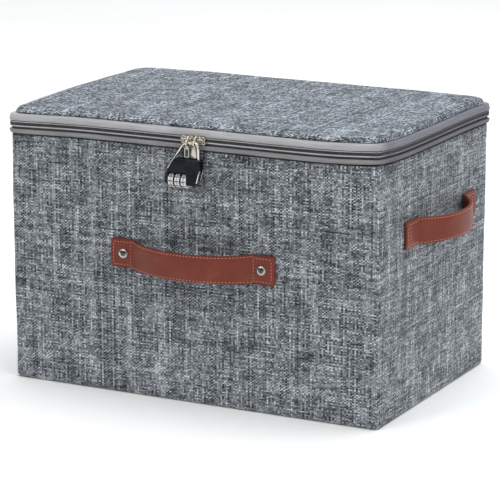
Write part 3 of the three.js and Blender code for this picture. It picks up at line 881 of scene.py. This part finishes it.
class LidPad(Builds, bpy.types.Operator):
    """Padded linen top of the lid, with its rolled edge"""
    bl_idname = "document_box.lid_pad"
    bl_label = "Lid pad"

    def execute(self, context):
        setting = sizes()
        low, high = corners("lid_cover")
        inset = Vector((0.4 * MM, 0.4 * MM, 0))
        start = high.z - setting.crown * 0.8
        bm = slab(low + inset, Vector((high.x - inset.x, high.y - inset.y, start)),
                  setting.lid_corner, top=setting.lid_roll, segments=10)
        slice_up(bm, WALL_LOW, WALL_HIGH, (9 * MM, 9 * MM))
        piece = piece_from(bm, "lid_pad", "lid_linen", sharp=60)
        self.fill_out(piece, low.z + 1.2 * MM, setting.crown)
        self.pucker(piece.data, high.z)
        self.unroll(piece, high.z)
        settle_verts(piece.data.vertices)
        modify(piece, "SUBSURF", levels=1, render_levels=1)
        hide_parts("lid_cover", "lid_foam")
        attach(piece, "lid")
        return {"FINISHED"}

    CLOTH = {
        "vertex_group_mass": "sewn", "use_pressure": True, "uniform_pressure_force": 4,
        "tension_stiffness": 12, "compression_stiffness": 12, "bending_stiffness": 0.6, "quality": 5,
    }
    FRAMES = 20

    def fill_out(self, piece, pinned_below, cap):
        """Inflates the pad as cloth, sewn down along its lower edge, and caps the rise."""
        scene = bpy.context.scene
        rest = [v.co.copy() for v in piece.data.vertices]
        pins = piece.vertex_groups.new(name="sewn")
        pins.add([i for i, co in enumerate(rest) if co.z < pinned_below], 1.0, "REPLACE")
        cloth = modify(piece, "CLOTH")
        cloth.settings.effector_weights.gravity = 0
        for key, value in self.CLOTH.items():
            setattr(cloth.settings, key, value)
        cloth.point_cache.frame_end = self.FRAMES
        for number in range(1, self.FRAMES + 1):
            scene.frame_set(number)
        settle(piece)
        for vertex, co in zip(piece.data.vertices, rest):
            move = vertex.co - co
            if move.length > cap:
                vertex.co = co + move.normalized() * cap
        piece.vertex_groups.clear()
        scene.frame_set(1)
        smooth(piece.data, 60)

    @staticmethod
    def pucker(mesh, top):
        """Small gathers where the seam pulls the fabric in, fading over the top."""
        reach = 30 * MM
        for vertex in mesh.vertices:
            co = vertex.co
            edge = max(abs(co.x) - HALF_X, abs(co.y) - HALF_Y) + reach
            near = min(1.0, max(0.0, edge / reach))
            above = min(1.0, max(0.0, (co.z - (top - 6 * MM)) / (4 * MM)))
            wave = noise.noise(co * 34) * 0.7 + noise.noise(co * 90 + Vector((5, 0, 0))) * 0.3
            broad = noise.noise(co * 7 + Vector((0, 4, 0)))
            co.z += above * (wave * near * 0.7 + broad * 0.5) * MM

    @staticmethod
    def unroll(piece, top):
        """Lays the weave flat over the top and down the rolled edges."""
        mesh = piece.data
        layer = mesh.uv_layers.new(name="weave")
        roll = 6 * MM
        for loop in mesh.loops:
            co = mesh.vertices[loop.vertex_index].co
            drop = max(0.0, top - co.z)
            side_x = min(1.0, max(0.0, (abs(co.x) - HALF_X + roll) / roll))
            side_y = min(1.0, max(0.0, (abs(co.y) - HALF_Y + roll) / roll))
            u = co.x + math.copysign(side_x * drop, co.x)
            v = co.y + math.copysign(side_y * drop, co.y)
            layer.data[loop.index].uv = (u, v)


class HingeFabric(Builds, bpy.types.Operator):
    """The strip of linen at the back that lets the lid swing"""
    bl_idname = "document_box.hinge_fabric"
    bl_label = "Hinge fabric"

    def execute(self, context):
        low, high = corners("lower_hinge_leaf", "upper_hinge_leaf")
        tucked_in = 0.3 * MM
        low.z -= tucked_in
        high.z += tucked_in
        bm = bmesh.new()
        bmesh.ops.create_grid(bm, x_segments=48, y_segments=10, size=0.5)
        for v in bm.verts:
            rise = v.co.y + 0.5
            bulge = math.sin(math.pi * rise) * 0.9 * MM
            v.co = (
                low.x + (v.co.x + 0.5) * (high.x - low.x),
                high.y - 1.0 * MM + bulge,
                low.z + rise * (high.z - low.z),
            )
        bmesh.ops.reverse_faces(bm, faces=bm.faces)
        piece = piece_from(bm, "hinge_fabric", "linen")
        wrap_uv(piece, wall_run())
        modify(piece, "SOLIDIFY", thickness=1.0 * MM, offset=-1)
        settle(piece)
        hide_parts("lower_hinge_leaf", "upper_hinge_leaf")
        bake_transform(piece)
        return {"FINISHED"}


class Lining(Builds, bpy.types.Operator):
    """Silver lining of the box and the lid, and the loose base insert"""
    bl_idname = "document_box.lining"
    bl_label = "Lining"

    def execute(self, context):
        wall = 0.9 * MM
        low = LINING_LOW + Vector((wall, wall, wall))
        high = LINING_HIGH - Vector((wall, wall, 0))
        bm = slab(low, high, 5 * MM, base=3 * MM, segments=6)
        open_top(bm)
        bmesh.ops.reverse_faces(bm, faces=bm.faces)
        slice_up(bm, low, high, [16 * MM] * 3)
        soften(bm, 1.1 * MM, 17, 21.0, lambda co: min(1.0, (high.z - co.z) / (20 * MM)))
        piece = piece_from(bm, "box_lining", "silver_cloth")
        thicken(piece, 0.7 * MM)
        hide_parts("fire_resistant_lining")
        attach(piece, "box")
        self.panel("base_insert", "base_insert_panel", "box", 0.0)
        self.panel("lid_lining", "lid_lining_panel", "lid", 0.25 * MM)
        return {"FINISHED"}

    @staticmethod
    def panel(node, name, body, sag):
        low, high = corners(node)
        bm = slab(low, high, 3 * MM, base=0.3 * MM, top=0.3 * MM, segments=5)
        slice_up(bm, low, high, [18 * MM] * 2)
        soften(bm, sag, 20, 31.0)
        piece = piece_from(bm, name, "silver_cloth")
        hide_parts(node)
        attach(piece, body)


# ------------------------------------------------------------------ zip band
def band_profile(low, high, inner, outer, lean=0.0):
    """A band's section with a rounded outer face: (outward, up) points.

    A positive lean draws the top edge in, a negative one the bottom edge.
    """
    face = []
    for share in (0.0, 0.06, 0.16, 0.3, 0.5, 0.7, 0.84, 0.94, 1.0):
        round_in = (1 - math.sin(math.pi * share) ** 0.4) * 0.9 * MM
        slope = abs(lean) * (share if lean > 0 else 1 - share) ** 1.5
        face.append((outer - round_in - slope, low + share * (high - low)))
    return [*face, (inner + 0.3 * MM, high), (inner, high - 0.3 * MM),
            (inner, low + 0.3 * MM), (inner + 0.3 * MM, low)]


def banded(profile, name, finish_name, sharp, ends=(0.0, None), waver=0.0):
    """A piece swept round the box: its weave runs along it, and it settles with the soft band."""
    run = wall_run()
    bm = sweep(profile, run, *ends)
    soften(bm, waver, 45, 17.0)
    piece = piece_from(bm, name, finish_name, sharp)
    wrap_uv(piece, run)
    settle_verts(piece.data.vertices)
    return piece


def stamped_round(run, pattern, distances, outward, height):
    """Copies of a pattern at distances round the box, settled with the soft band."""
    bm = bmesh.new()
    shift = Matrix.Translation((outward, 0, height))
    stamp(bm, pattern, [run.frame(distance) @ shift for distance in distances])
    settle_verts(bm.verts)
    return bm


class Bindings(Builds, bpy.types.Operator):
    """Light grey webbing round the box's rim and the lid"""
    bl_idname = "document_box.bindings"
    bl_label = "Bindings"

    def execute(self, context):
        run = wall_run()
        for side, body in (("lower", "box"), ("upper", "lid")):
            low, high = corners(f"{side}_binding")
            inner = LINING_HIGH.x - HALF_X - 1 * MM
            outer = high.x - HALF_X
            lean = 1.3 * MM if side == "upper" else -1.1 * MM
            profile = band_profile(low.z, high.z, inner, outer, lean)
            # the lower binding takes the copy of the webbing painted darker, as painted shade
            webbing_shade = "low_webbing" if side == "lower" else "webbing"
            name = f"{side}_binding_web"
            piece = banded(profile, name, webbing_shade, 50, waver=0.25 * MM)
            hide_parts(f"{side}_binding")
            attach(piece, body)
            near_zip = high.z - 1.1 * MM if side == "lower" else low.z + 1.1 * MM
            self.stitches(run, side, body, near_zip, outer)
        return {"FINISHED"}

    @staticmethod
    def stitches(run, side, body, height, outer):
        pattern = bead((0.5 * MM, 2.1 * MM, 0.5 * MM))
        count = round(run.total / (3 * MM))
        distances = [run.total * i / count for i in range(count)]
        bm = stamped_round(run, pattern, distances, outer - 0.05 * MM, height)
        piece = piece_from(bm, f"{side}_binding_stitches", "pale_thread")
        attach(piece, body)


class ZipBand(Builds, bpy.types.Operator):
    """Zip tapes, pale piping and the two rows of nylon teeth"""
    bl_idname = "document_box.zip_band"
    bl_label = "Zip band"

    def execute(self, context):
        run = wall_run()
        start = corners("lower_hinge_leaf")[1].x + 1 * MM
        ends = (start, run.total - start)
        meet = (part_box("lower_zip_coil")[1].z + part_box("upper_zip_coil")[0].z) / 2
        for side, body, way, ridge in (("lower", "box", -1, 1.6 * MM), ("upper", "lid", 1, 1.1 * MM)):
            low, high = corners(f"{side}_zip_tape")
            far = low.z - 0.3 * MM if way < 0 else high.z + 0.3 * MM
            profile = band_profile(*sorted((far, meet + way * 0.9 * MM)), -2.4 * MM, -0.5 * MM)
            piece = banded(profile, f"{side}_tape", "tape", 50, ends)
            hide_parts(f"{side}_zip_tape")
            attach(piece, body)

            middle = meet + way * (1.35 * MM + ridge / 2)
            cord = [
                (0.2 * MM + 1.1 * MM * math.cos(t), middle + ridge / 2 * math.sin(t))
                for t in [2 * math.pi * i / 12 for i in range(12)]
            ]
            piece = banded(cord, f"{side}_piping", "webbing", 60, ends)
            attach(piece, body)
            self.teeth(run, side, body, way, meet, ends)
        return {"FINISHED"}

    @staticmethod
    def teeth(run, side, body, way, meet, ends):
        """One row of slanted nylon loops, half a pitch out of step with the other row."""
        start, stop = ends
        pattern = bead((1.5 * MM, 0.84 * MM, 2.0 * MM), math.radians(24))
        pitch = sizes().tooth
        first = start + pitch * (1.0 if way > 0 else 0.5)
        distances = [first + i * pitch for i in range(int((stop - start - pitch) / pitch))]
        row = stamped_round(run, pattern, distances, 0.55 * MM, meet + way * 0.42 * MM)
        piece = piece_from(row, f"{side}_teeth", "nylon")
        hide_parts(f"{side}_zip_coil")
        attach(piece, body)


# ------------------------------------------------------------------ handles
class Strap:
    """A leather strap's middle line on its wall: x along the wall, -y outwards, z up."""
    FULLNESS = 2.4
    REST = 2.4 * MM
    TAB_REST = 1.8 * MM
    STEP = 0.25 * MM

    def __init__(self, side, arch):
        low, high = corners(f"{side}_handle_tab_a", f"{side}_handle_tab_b", f"{side}_handle_grip")
        self.width = high.z - low.z
        centre = (low + high) / 2
        if side == "front":
            self.end = (high.x - low.x) / 2
            self.reach = -HALF_Y - low.y
            self.place = Matrix.Translation((centre.x, -HALF_Y, centre.z))
        else:
            way = 1 if side == "right" else -1
            self.end = (high.y - low.y) / 2
            self.reach = high.x - HALF_X if way > 0 else -HALF_X - low.x
            turn = Matrix.Rotation(way * math.pi / 2, 4, "Z")
            self.place = Matrix.Translation((way * HALF_X, centre.y, centre.z)) @ turn
        self.reach -= 1.5 * MM
        self.arch = arch
        self.tab = self.end - arch
        self.table = self._measure()
        self.long = self.table[-1][0]

    def stand_off(self, x):
        beyond = x - self.arch
        if beyond >= 0:
            fade = max(0.0, 1 - beyond / (2 * MM))
            return self.TAB_REST + (self.REST - self.TAB_REST) * fade * fade
        return self.REST + (self.reach - self.REST) * (1 - (x / self.arch) ** self.FULLNESS)

    def half_width(self, along):
        """Half of the strap's width: slimmer in the middle, full at its sewn ends."""
        share = min(1.0, abs(along) / (self.long - self.tab))
        return self.width / 2 * (0.95 + 0.08 * share ** 3)

    def lift(self, along, across, thick):
        """How far the leather's face stands above the strap's middle line."""
        wide = self.half_width(along)
        crown = 0.45 * MM * (1 - (across / wide) ** 4)
        inset = wide - abs(across) - sizes().stitch_inset
        groove = 0.35 * MM * math.exp(-(inset / (0.7 * MM)) ** 2)
        spot = Vector((along * 40, across * 30, self.end * 100))
        return thick / 2 + crown - groove + noise.noise(spot) * 0.35 * MM

    def _measure(self):
        """Rows of (length along the strap, x, stand-off) from the middle to one end."""
        rows = [(0.0, 0.0, self.stand_off(0.0))]
        for i in range(1, round(self.end / self.STEP) + 1):
            x = i * self.STEP
            out = self.stand_off(x)
            done, last_x, last_out = rows[-1]
            rows.append((done + math.hypot(x - last_x, out - last_out), x, out))
        return rows

    def at(self, along, across, lift):
        """A frame on the strap: x along it, y across it, z out of its face."""
        way = 1 if along >= 0 else -1
        target = min(abs(along), self.long)
        index = bisect_left(self.table, target, key=lambda row: row[0])
        index = max(min(index, len(self.table) - 1), 1)
        (s0, x0, out0), (s1, x1, out1) = self.table[index - 1], self.table[index]
        share = (target - s0) / (s1 - s0)
        point = Vector((way * (x0 + (x1 - x0) * share), -(out0 + (out1 - out0) * share), 0))
        tangent = Vector((x1 - x0, -way * (out1 - out0), 0)).normalized()
        outward = Vector((tangent.y, -tangent.x, 0))
        basis = Matrix((tangent, -UP, outward)).transposed().to_4x4()
        spot = point + outward * lift + UP * across
        return self.place @ Matrix.Translation(spot) @ basis


class Handles(Builds, bpy.types.Operator):
    """Leather straps with their stitching, one on the front and one on each end"""
    bl_idname = "document_box.handles"
    bl_label = "Handles"

    def execute(self, context):
        for side, arch in (("front", 65 * MM), ("right", 56 * MM), ("left", 56 * MM)):
            strap = Strap(side, arch)
            for half, way in (("a", -1), ("b", 1)):
                self.leather_half(strap, side, half, way)
                self.stitch_half(strap, side, half, way)
        return {"FINISHED"}

    def bend(self, piece, strap, side, way):
        """Bakes the piece's place into its mesh; where its sewn end and free middle lie is worked
        out, but not used.
        """
        fixed = strap.place @ Vector((way * (strap.arch - 2 * MM), -8 * MM, 0))
        free = strap.place @ Vector((way * strap.arch * 0.6, -8 * MM, 0))
        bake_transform(piece)

    def leather_half(self, strap, side, half, way):
        """Half of the strap, cut from the whole finished strap so that the halves meet unseen."""
        thick = sizes().strap
        bm = bmesh.new()
        bmesh.ops.create_grid(bm, x_segments=112, y_segments=14, size=0.5)
        layer = bm.loops.layers.uv.new("weave")
        spots = {v: self.rounded(strap, v.co.x * 2 * strap.long, v.co.y * 2) for v in bm.verts}
        for face in bm.faces:
            for loop in face.loops:
                loop[layer].uv = spots[loop.vert]
        for v, (along, across) in spots.items():
            v.co = strap.at(along, across, strap.lift(along, across, thick)).translation
        bm.normal_update()
        outward = strap.at(0, 0, 0).to_3x3() @ UP
        if sum(f.normal.dot(outward) for f in bm.faces) < 0:
            bmesh.ops.reverse_faces(bm, faces=bm.faces)
        piece = piece_from(bm, f"{side}_strap_{half}", "leather", sharp=60)
        modify(piece, "SOLIDIFY", thickness=thick, offset=-1, use_even_offset=True)
        modify(piece, "BEVEL", width=0.55 * MM, segments=3, limit_method="ANGLE",
               angle_limit=math.radians(50))
        settle(piece)
        self.keep_half(piece.data, strap, way)
        grip = [f"{side}_handle_grip"] if half == "a" else []
        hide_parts(f"{side}_handle_tab_{half}", *grip)
        self.bend(piece, strap, side, way)

    @staticmethod
    def rounded(strap, along, share):
        """A place on the strap, inside its rounded corners and slightly uneven edge."""
        radius = 2.6 * MM
        wide = strap.half_width(along)
        across = share * wide + abs(share) * noise.noise(Vector((along * 60, share, 7))) * 0.4 * MM
        past_along = abs(along) - (strap.long - radius)
        past_across = abs(across) - (wide - radius)
        if past_along > 0 and past_across > 0:
            pull = radius / max(radius, math.hypot(past_along, past_across))
            along = math.copysign(strap.long - radius + past_along * pull, along)
            across = math.copysign(wide - radius + past_across * pull, across)
        return along, across

    @staticmethod
    def keep_half(mesh, strap, way):
        """Cuts the other half of the strap away."""
        bm = bmesh.new()
        bm.from_mesh(mesh)
        along = strap.place.to_3x3() @ Vector((way, 0, 0))
        cut(bm, strap.place.translation, along, clear_inner=True)
        bm.to_mesh(mesh)
        bm.free()

    def stitch_half(self, strap, side, half, way):
        """Two rows along the strap's edges, and two columns across its tab."""
        setting = sizes()
        pattern = bead((0.8 * MM, 2.3 * MM, 0.9 * MM))
        turn = Matrix.Rotation(math.pi / 2, 4, "Z")
        last = strap.long - 3.2 * MM
        fold = strap.long - strap.tab + 1.5 * MM
        count = round(last / setting.stitch)
        spots = []
        for i in range(count):
            along = way * (i + 0.5) * last / count
            drop = 1.5 * MM if abs(along) > fold else 0
            edge = strap.half_width(along) - setting.stitch_inset - drop
            spots += [(along, edge * up, turn) for up in (-1, 1)]
        columns = [last, fold] if side == "front" else [last, last - 6 * MM]
        edge = strap.half_width(last) - setting.stitch_inset - 3 * MM
        steps = round(2 * edge / setting.stitch)
        for column in columns:
            spots += [
                (way * column, (-1 + 2 * (i + 0.5) / steps) * edge, Matrix()) for i in range(steps)
            ]
        bm = bmesh.new()
        stamp(bm, pattern, [
            strap.at(along, across, strap.lift(along, across, setting.strap) + 0.12 * MM) @ way_round
            for along, across, way_round in spots
        ])
        piece = piece_from(bm, f"{side}_strap_stitches_{half}", "thread")
        self.bend(piece, strap, side, way)


class Rivets(Builds, bpy.types.Operator):
    """Chrome rivet caps of the front handle"""
    bl_idname = "document_box.rivets"
    bl_label = "Rivets"

    def execute(self, context):
        for half in ("a", "b"):
            node = f"front_handle_rivet_{half}"
            low, high = corners(node)
            radius = (high.z - low.z) / 2
            seat = low.y + 3 * MM
            outline = [
                # share of the radius, height over the seat in mm
                (0.0, 3.0), (0.25, 2.96), (0.5, 2.78), (0.7, 2.42), (0.84, 1.9), (0.9, 1.5),
                (0.93, 1.1), (0.97, 1.05), (1.0, 0.75), (1.0, 0.35), (0.95, 0.05), (0.9, -0.1),
            ]
            bm = bmesh.new()
            points = [bm.verts.new((r * radius, -h * MM, 0)) for r, h in outline]
            edges = [bm.edges.new(pair) for pair in zip(points, points[1:])]
            bmesh.ops.spin(
                bm, geom=points + edges, cent=(0, 0, 0), axis=(0, 1, 0),
                angle=2 * math.pi, steps=40, use_merge=True,
            )
            bmesh.ops.remove_doubles(bm, verts=bm.verts, dist=1e-7)
            back = [e for e in bm.edges if e.is_boundary]
            bmesh.ops.contextual_create(bm, geom=back)
            bmesh.ops.recalc_face_normals(bm, faces=bm.faces)
            centre = (low + high) / 2
            bmesh.ops.translate(bm, verts=bm.verts, vec=(centre.x, seat, centre.z))
            piece = piece_from(bm, f"rivet_cap_{half}", "rivet_chrome", sharp=40)
            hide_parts(node)
            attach(piece, "box")
        return {"FINISHED"}


# ------------------------------------------------------------------ metalwork
class ZipMetal(Builds, bpy.types.Operator):
    """Sliders and pulls of the zip"""
    bl_idname = "document_box.zip_metal"
    bl_label = "Zip metal"

    def execute(self, context):
        for side, tail in (("left", -1), ("right", 1)):
            for part, work in (("slider", self.recess), ("pull", None)):
                polished(f"{side}_{part}", "nickel", 0.22 * MM, work=work)
            self.loops(side, tail)
        return {"FINISHED"}

    @staticmethod
    def recess(bm):
        """Sinks the plate's face inside a raised rim."""
        bm.normal_update()
        front = [f for f in bm.faces if f.normal.y < -0.99]
        area = {f: f.calc_area() for f in front}
        level = max(front, key=area.get).calc_center_median().y
        face = [f for f in front if abs(f.calc_center_median().y - level) < 0.05 * MM]
        bmesh.ops.inset_region(
            bm, faces=face, thickness=0.75 * MM, depth=0, use_boundary=True, use_even_offset=True)
        sunk = {v for f in face if f.is_valid for v in f.verts}
        bmesh.ops.translate(bm, verts=list(sunk), vec=(0, 0.6 * MM, 0))

    @staticmethod
    def loops(side, tail):
        """The slider's cast rings: two at its tail, and one that holds the crown bar's foot."""
        low, high = corners(f"{side}_slider")
        centre = (low + high) / 2
        face = -HALF_Y - 4.1 * MM
        rings = (
            # along the zip, up, the ring's radius, its wire's radius
            (tail * 3.6, 1.4, 1.75, 0.62), (tail * 4.6, -2.1, 1.3, 0.6), (tail * -0.3, 1.2, 1.9, 0.7),
        )
        bm = bmesh.new()
        for along, up, radius, wire in rings:
            place = Matrix.Translation((centre.x + along * MM, face, centre.z + up * MM))
            made = bmesh.ops.create_circle(
                bm, segments=10, radius=wire * MM,
                matrix=place @ Matrix.Translation((radius * MM, 0, 0)),
            )["verts"]
            edges = list({e for v in made for e in v.link_edges})
            bmesh.ops.spin(
                bm, geom=made + edges, cent=place.translation, axis=(0, 1, 0),
                angle=2 * math.pi, steps=24, use_merge=True,
            )
        bmesh.ops.remove_doubles(bm, verts=bm.verts, dist=1e-7)
        bmesh.ops.recalc_face_normals(bm, faces=bm.faces)
        piece = piece_from(bm, f"{side}_slider_rings", "nickel", sharp=60)
        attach(piece, BODY_OF[f"{side}_slider"])


class Padlock(Builds, bpy.types.Operator):
    """Padlock: case, shackle, side plate, bush, spindle and dials"""
    bl_idname = "document_box.padlock"
    bl_label = "Padlock"

    def execute(self, context):
        for node, metal, edge, sharp in (
            ("lock_case_front", "enamel", 0.3, 40), ("lock_case_back", "enamel", 0.3, 40),
            ("lock_side_plate", "chrome", 0.18, 32), ("shackle", "chrome", 0, 32),
            ("shackle_bush", "nickel", 0.1, 32), ("dial_spindle", "nickel", 0.1, 32),
        ):
            polished(node, metal, edge * MM, sharp)
        for number in (1, 2, 3):
            self.dial(f"dial_{number}", shift=number * 3)
        return {"FINISHED"}

    def dial(self, node, shift):
        """A faceted wheel with an edge to the front, and a printed digit on every face."""
        low, high = corners(node)
        centre = (low + high) / 2
        radius = (high.z - low.z) / 2
        count = sizes().digits
        bm = bmesh.new()
        upright = Matrix.Rotation(math.pi / 2, 4, "Y")
        bmesh.ops.create_cone(
            bm, cap_ends=True, segments=count, radius1=radius, radius2=radius,
            depth=high.x - low.x, matrix=upright,
        )
        lead = min(bm.verts, key=lambda v: v.co.y).co
        face_front = Matrix.Rotation(math.atan2(lead.z, -lead.y), 4, "X")
        bmesh.ops.transform(bm, matrix=face_front, verts=bm.verts)
        rims = [e for e in bm.edges if abs(e.verts[0].co.x - e.verts[1].co.x) < 1e-6]
        round_off(bm, rims, 0.45 * MM, 2)
        bmesh.ops.translate(bm, verts=bm.verts, vec=centre)
        piece = piece_from(bm, f"{node}_wheel", "dial_face", sharp=20)
        modify(piece, "BEVEL", width=0.12 * MM, segments=2, limit_method="ANGLE",
               angle_limit=math.radians(25))
        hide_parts(node)
        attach(piece, node)
        self.printed(node, centre, radius, high.x - low.x, shift)

    def printed(self, node, centre, radius, wide, shift):
        """The digits on the dial's faces, and a dark strip along each edge between two faces, painted
        shade for a groove.
        """
        count = sizes().digits
        face = radius * math.cos(math.pi / count)
        bm = bmesh.new()
        for i in range(count):
            middle, ridge = (
                Matrix.Translation(centre) @ Matrix.Rotation(2 * math.pi * place / count, 4, "X")
                for place in (i + 0.5, i)
            )
            stand = Matrix.Translation((0, -face - 0.01 * MM, 0)) @ Matrix.Rotation(
                math.pi / 2, 4, "X")
            stamp(bm, self.digit((i + shift) % 10), [middle @ stand])
            # painted shade: a thin dark strip on the edge between two faces, for the shade of a
            # groove
            bmesh.ops.create_cube(bm, size=1, matrix=(
                ridge @ Matrix.Translation((0, 0.3 * MM - radius, 0))
                @ Matrix.Diagonal((wide - 0.9 * MM, 0.7 * MM, 1.0 * MM, 1))
            ))
        piece = piece_from(bm, f"{node}_digits", "ink")
        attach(piece, node)

    @staticmethod
    def digit(value):
        """One digit as a thin mesh, centred, standing up along Y."""
        curve = bpy.data.curves.new("digit", "FONT")
        curve.body = str(value)
        curve.size = 3.6 * MM
        curve.align_x = "CENTER"
        curve.align_y = "CENTER"
        curve.extrude = 0.05 * MM
        curve.resolution_u = 3
        text = add_object("digit", curve)
        bpy.context.view_layer.update()
        graph = bpy.context.evaluated_depsgraph_get()
        mesh = bpy.data.meshes.new_from_object(text.evaluated_get(graph), depsgraph=graph)
        bpy.data.objects.remove(text)
        return mesh


class HiddenLayers(Builds, bpy.types.Operator):
    """Finishes of the boards, felt and washers inside the walls"""
    bl_idname = "document_box.hidden_layers"
    bl_label = "Hidden layers"

    def execute(self, context):
        inside = {
            "fibreboard": (
                "front_board", "back_board", "left_board", "right_board", "base_board", "lid_board",
            ),
            "felt": ("insulation_felt", "lid_insulation"),
            "nickel": ("front_handle_rivet_washer_a", "front_handle_rivet_washer_b"),
        }
        for name, nodes in inside.items():
            for node in nodes:
                mesh = frame["nodes"][node].data
                mesh.materials.clear()
                mesh.materials.append(finish(name))
        return {"FINISHED"}


# ------------------------------------------------------------------ stage
class Stage(Builds, bpy.types.Operator):
    """Pale floor, soft lights and the camera"""
    bl_idname = "document_box.stage"
    bl_label = "Stage"

    AIM = Vector((-1.6 * MM, 0, 124.4 * MM))
    AZIMUTH = math.radians(27.25)
    ELEVATION = math.radians(13.774)
    DISTANCE = 2.6857
    LENS = 192.75
    LIGHTS = (
        # name, place, size, power, colour
        ("top_light", (0.3, 0.6, 2.8), 2.6, 60, (0.94, 0.975, 1.0)),
        ("right_light", (2.7, -0.9, 1.3), 1.4, 16, (0.93, 0.96, 1.0)),
        ("front_light", (-1.1, -3.0, 2.2), 0.7, 21, (1.0, 0.995, 0.98)),
    )

    def execute(self, context):
        scene = context.scene
        bm = bmesh.new()
        bmesh.ops.create_grid(bm, x_segments=1, y_segments=1, size=12)
        floor = add_object("floor", mesh_from(bm, "floor"))
        floor.data.materials.append(finish("floor_paint"))

        world = bpy.data.worlds.new("studio")
        scene.world = world
        world.use_nodes = True
        self.sky(world.node_tree)
        scene.view_settings.view_transform = "Standard"

        for settings in self.LIGHTS:
            self.light(*settings)

        back = Vector((
            math.sin(self.AZIMUTH) * math.cos(self.ELEVATION),
            -math.cos(self.AZIMUTH) * math.cos(self.ELEVATION),
            math.sin(self.ELEVATION),
        ))
        lens = bpy.data.cameras.new("camera")
        lens.lens = self.LENS
        lens.sensor_width = 36
        lens.clip_end = 60
        camera = add_object("camera", lens)
        camera.location = self.AIM + back * self.DISTANCE
        camera.rotation_euler = (-back).to_track_quat("-Z", "Y").to_euler()
        scene.camera = camera
        return {"FINISHED"}

    @staticmethod
    def sky(tree):
        """Soft surroundings: bright overhead, dim towards the horizon."""
        way = tree.nodes.new("ShaderNodeTexCoord")
        split = tree.nodes.new("ShaderNodeSeparateXYZ")
        ramp = tree.nodes.new("ShaderNodeValToRGB")
        background = tree.nodes["Background"]
        stops = ((0.0, 0.06), (0.18, 0.12), (0.45, 0.7), (1.0, 1.0))
        set_stops(ramp.color_ramp, [(at, (level, level, level)) for at, level in stops])
        tree.links.new(way.outputs["Generated"], split.inputs[0])
        tree.links.new(split.outputs["Z"], ramp.inputs[0])
        tree.links.new(ramp.outputs[0], background.inputs["Color"])
        background.inputs["Strength"].default_value = 1.0

    def light(self, name, place, size, power, colour):
        lamp = bpy.data.lights.new(name, "AREA")
        lamp.energy = power
        lamp.color = colour
        lamp.size = size
        stand = add_object(name, lamp)
        stand.location = place
        aim = self.AIM - Vector(place)
        stand.rotation_euler = aim.to_track_quat("-Z", "Y").to_euler()


BUILDERS = (
    Stage, BodyFabric, LidPad, HingeFabric, Lining, Bindings, ZipBand, Handles, Rivets,
    ZipMetal, Padlock, HiddenLayers,
)


class DocumentBoxPanel(bpy.types.Panel):
    """Sizes, colours and pieces of the document box"""
    bl_idname = "VIEW3D_PT_document_box"
    bl_label = "Document Box"
    bl_space_type = "VIEW_3D"
    bl_region_type = "UI"
    bl_category = "Document Box"

    def draw(self, context):
        layout = self.layout
        for group in (sizes(), colours()):
            column = layout.column()
            for name in group.bl_rna.properties.keys():
                if name not in {"rna_type", "name"}:
                    column.prop(group, name)
        for builder in BUILDERS:
            layout.operator(builder.bl_idname)


CLASSES = (BoxSizes, BoxColours, *BUILDERS, DocumentBoxPanel)


def register():
    for item in CLASSES:
        bpy.utils.register_class(item)
    bpy.types.Scene.document_box_sizes = PointerProperty(type=BoxSizes)
    bpy.types.Scene.document_box_colours = PointerProperty(type=BoxColours)


def unregister():
    del bpy.types.Scene.document_box_colours
    del bpy.types.Scene.document_box_sizes
    for item in reversed(CLASSES):
        bpy.utils.unregister_class(item)


def main():
    register()
    for builder in BUILDERS:
        category, name = builder.bl_idname.split(".")
        getattr(getattr(bpy.ops, category), name)()


if __name__ == "__main__":
    main()
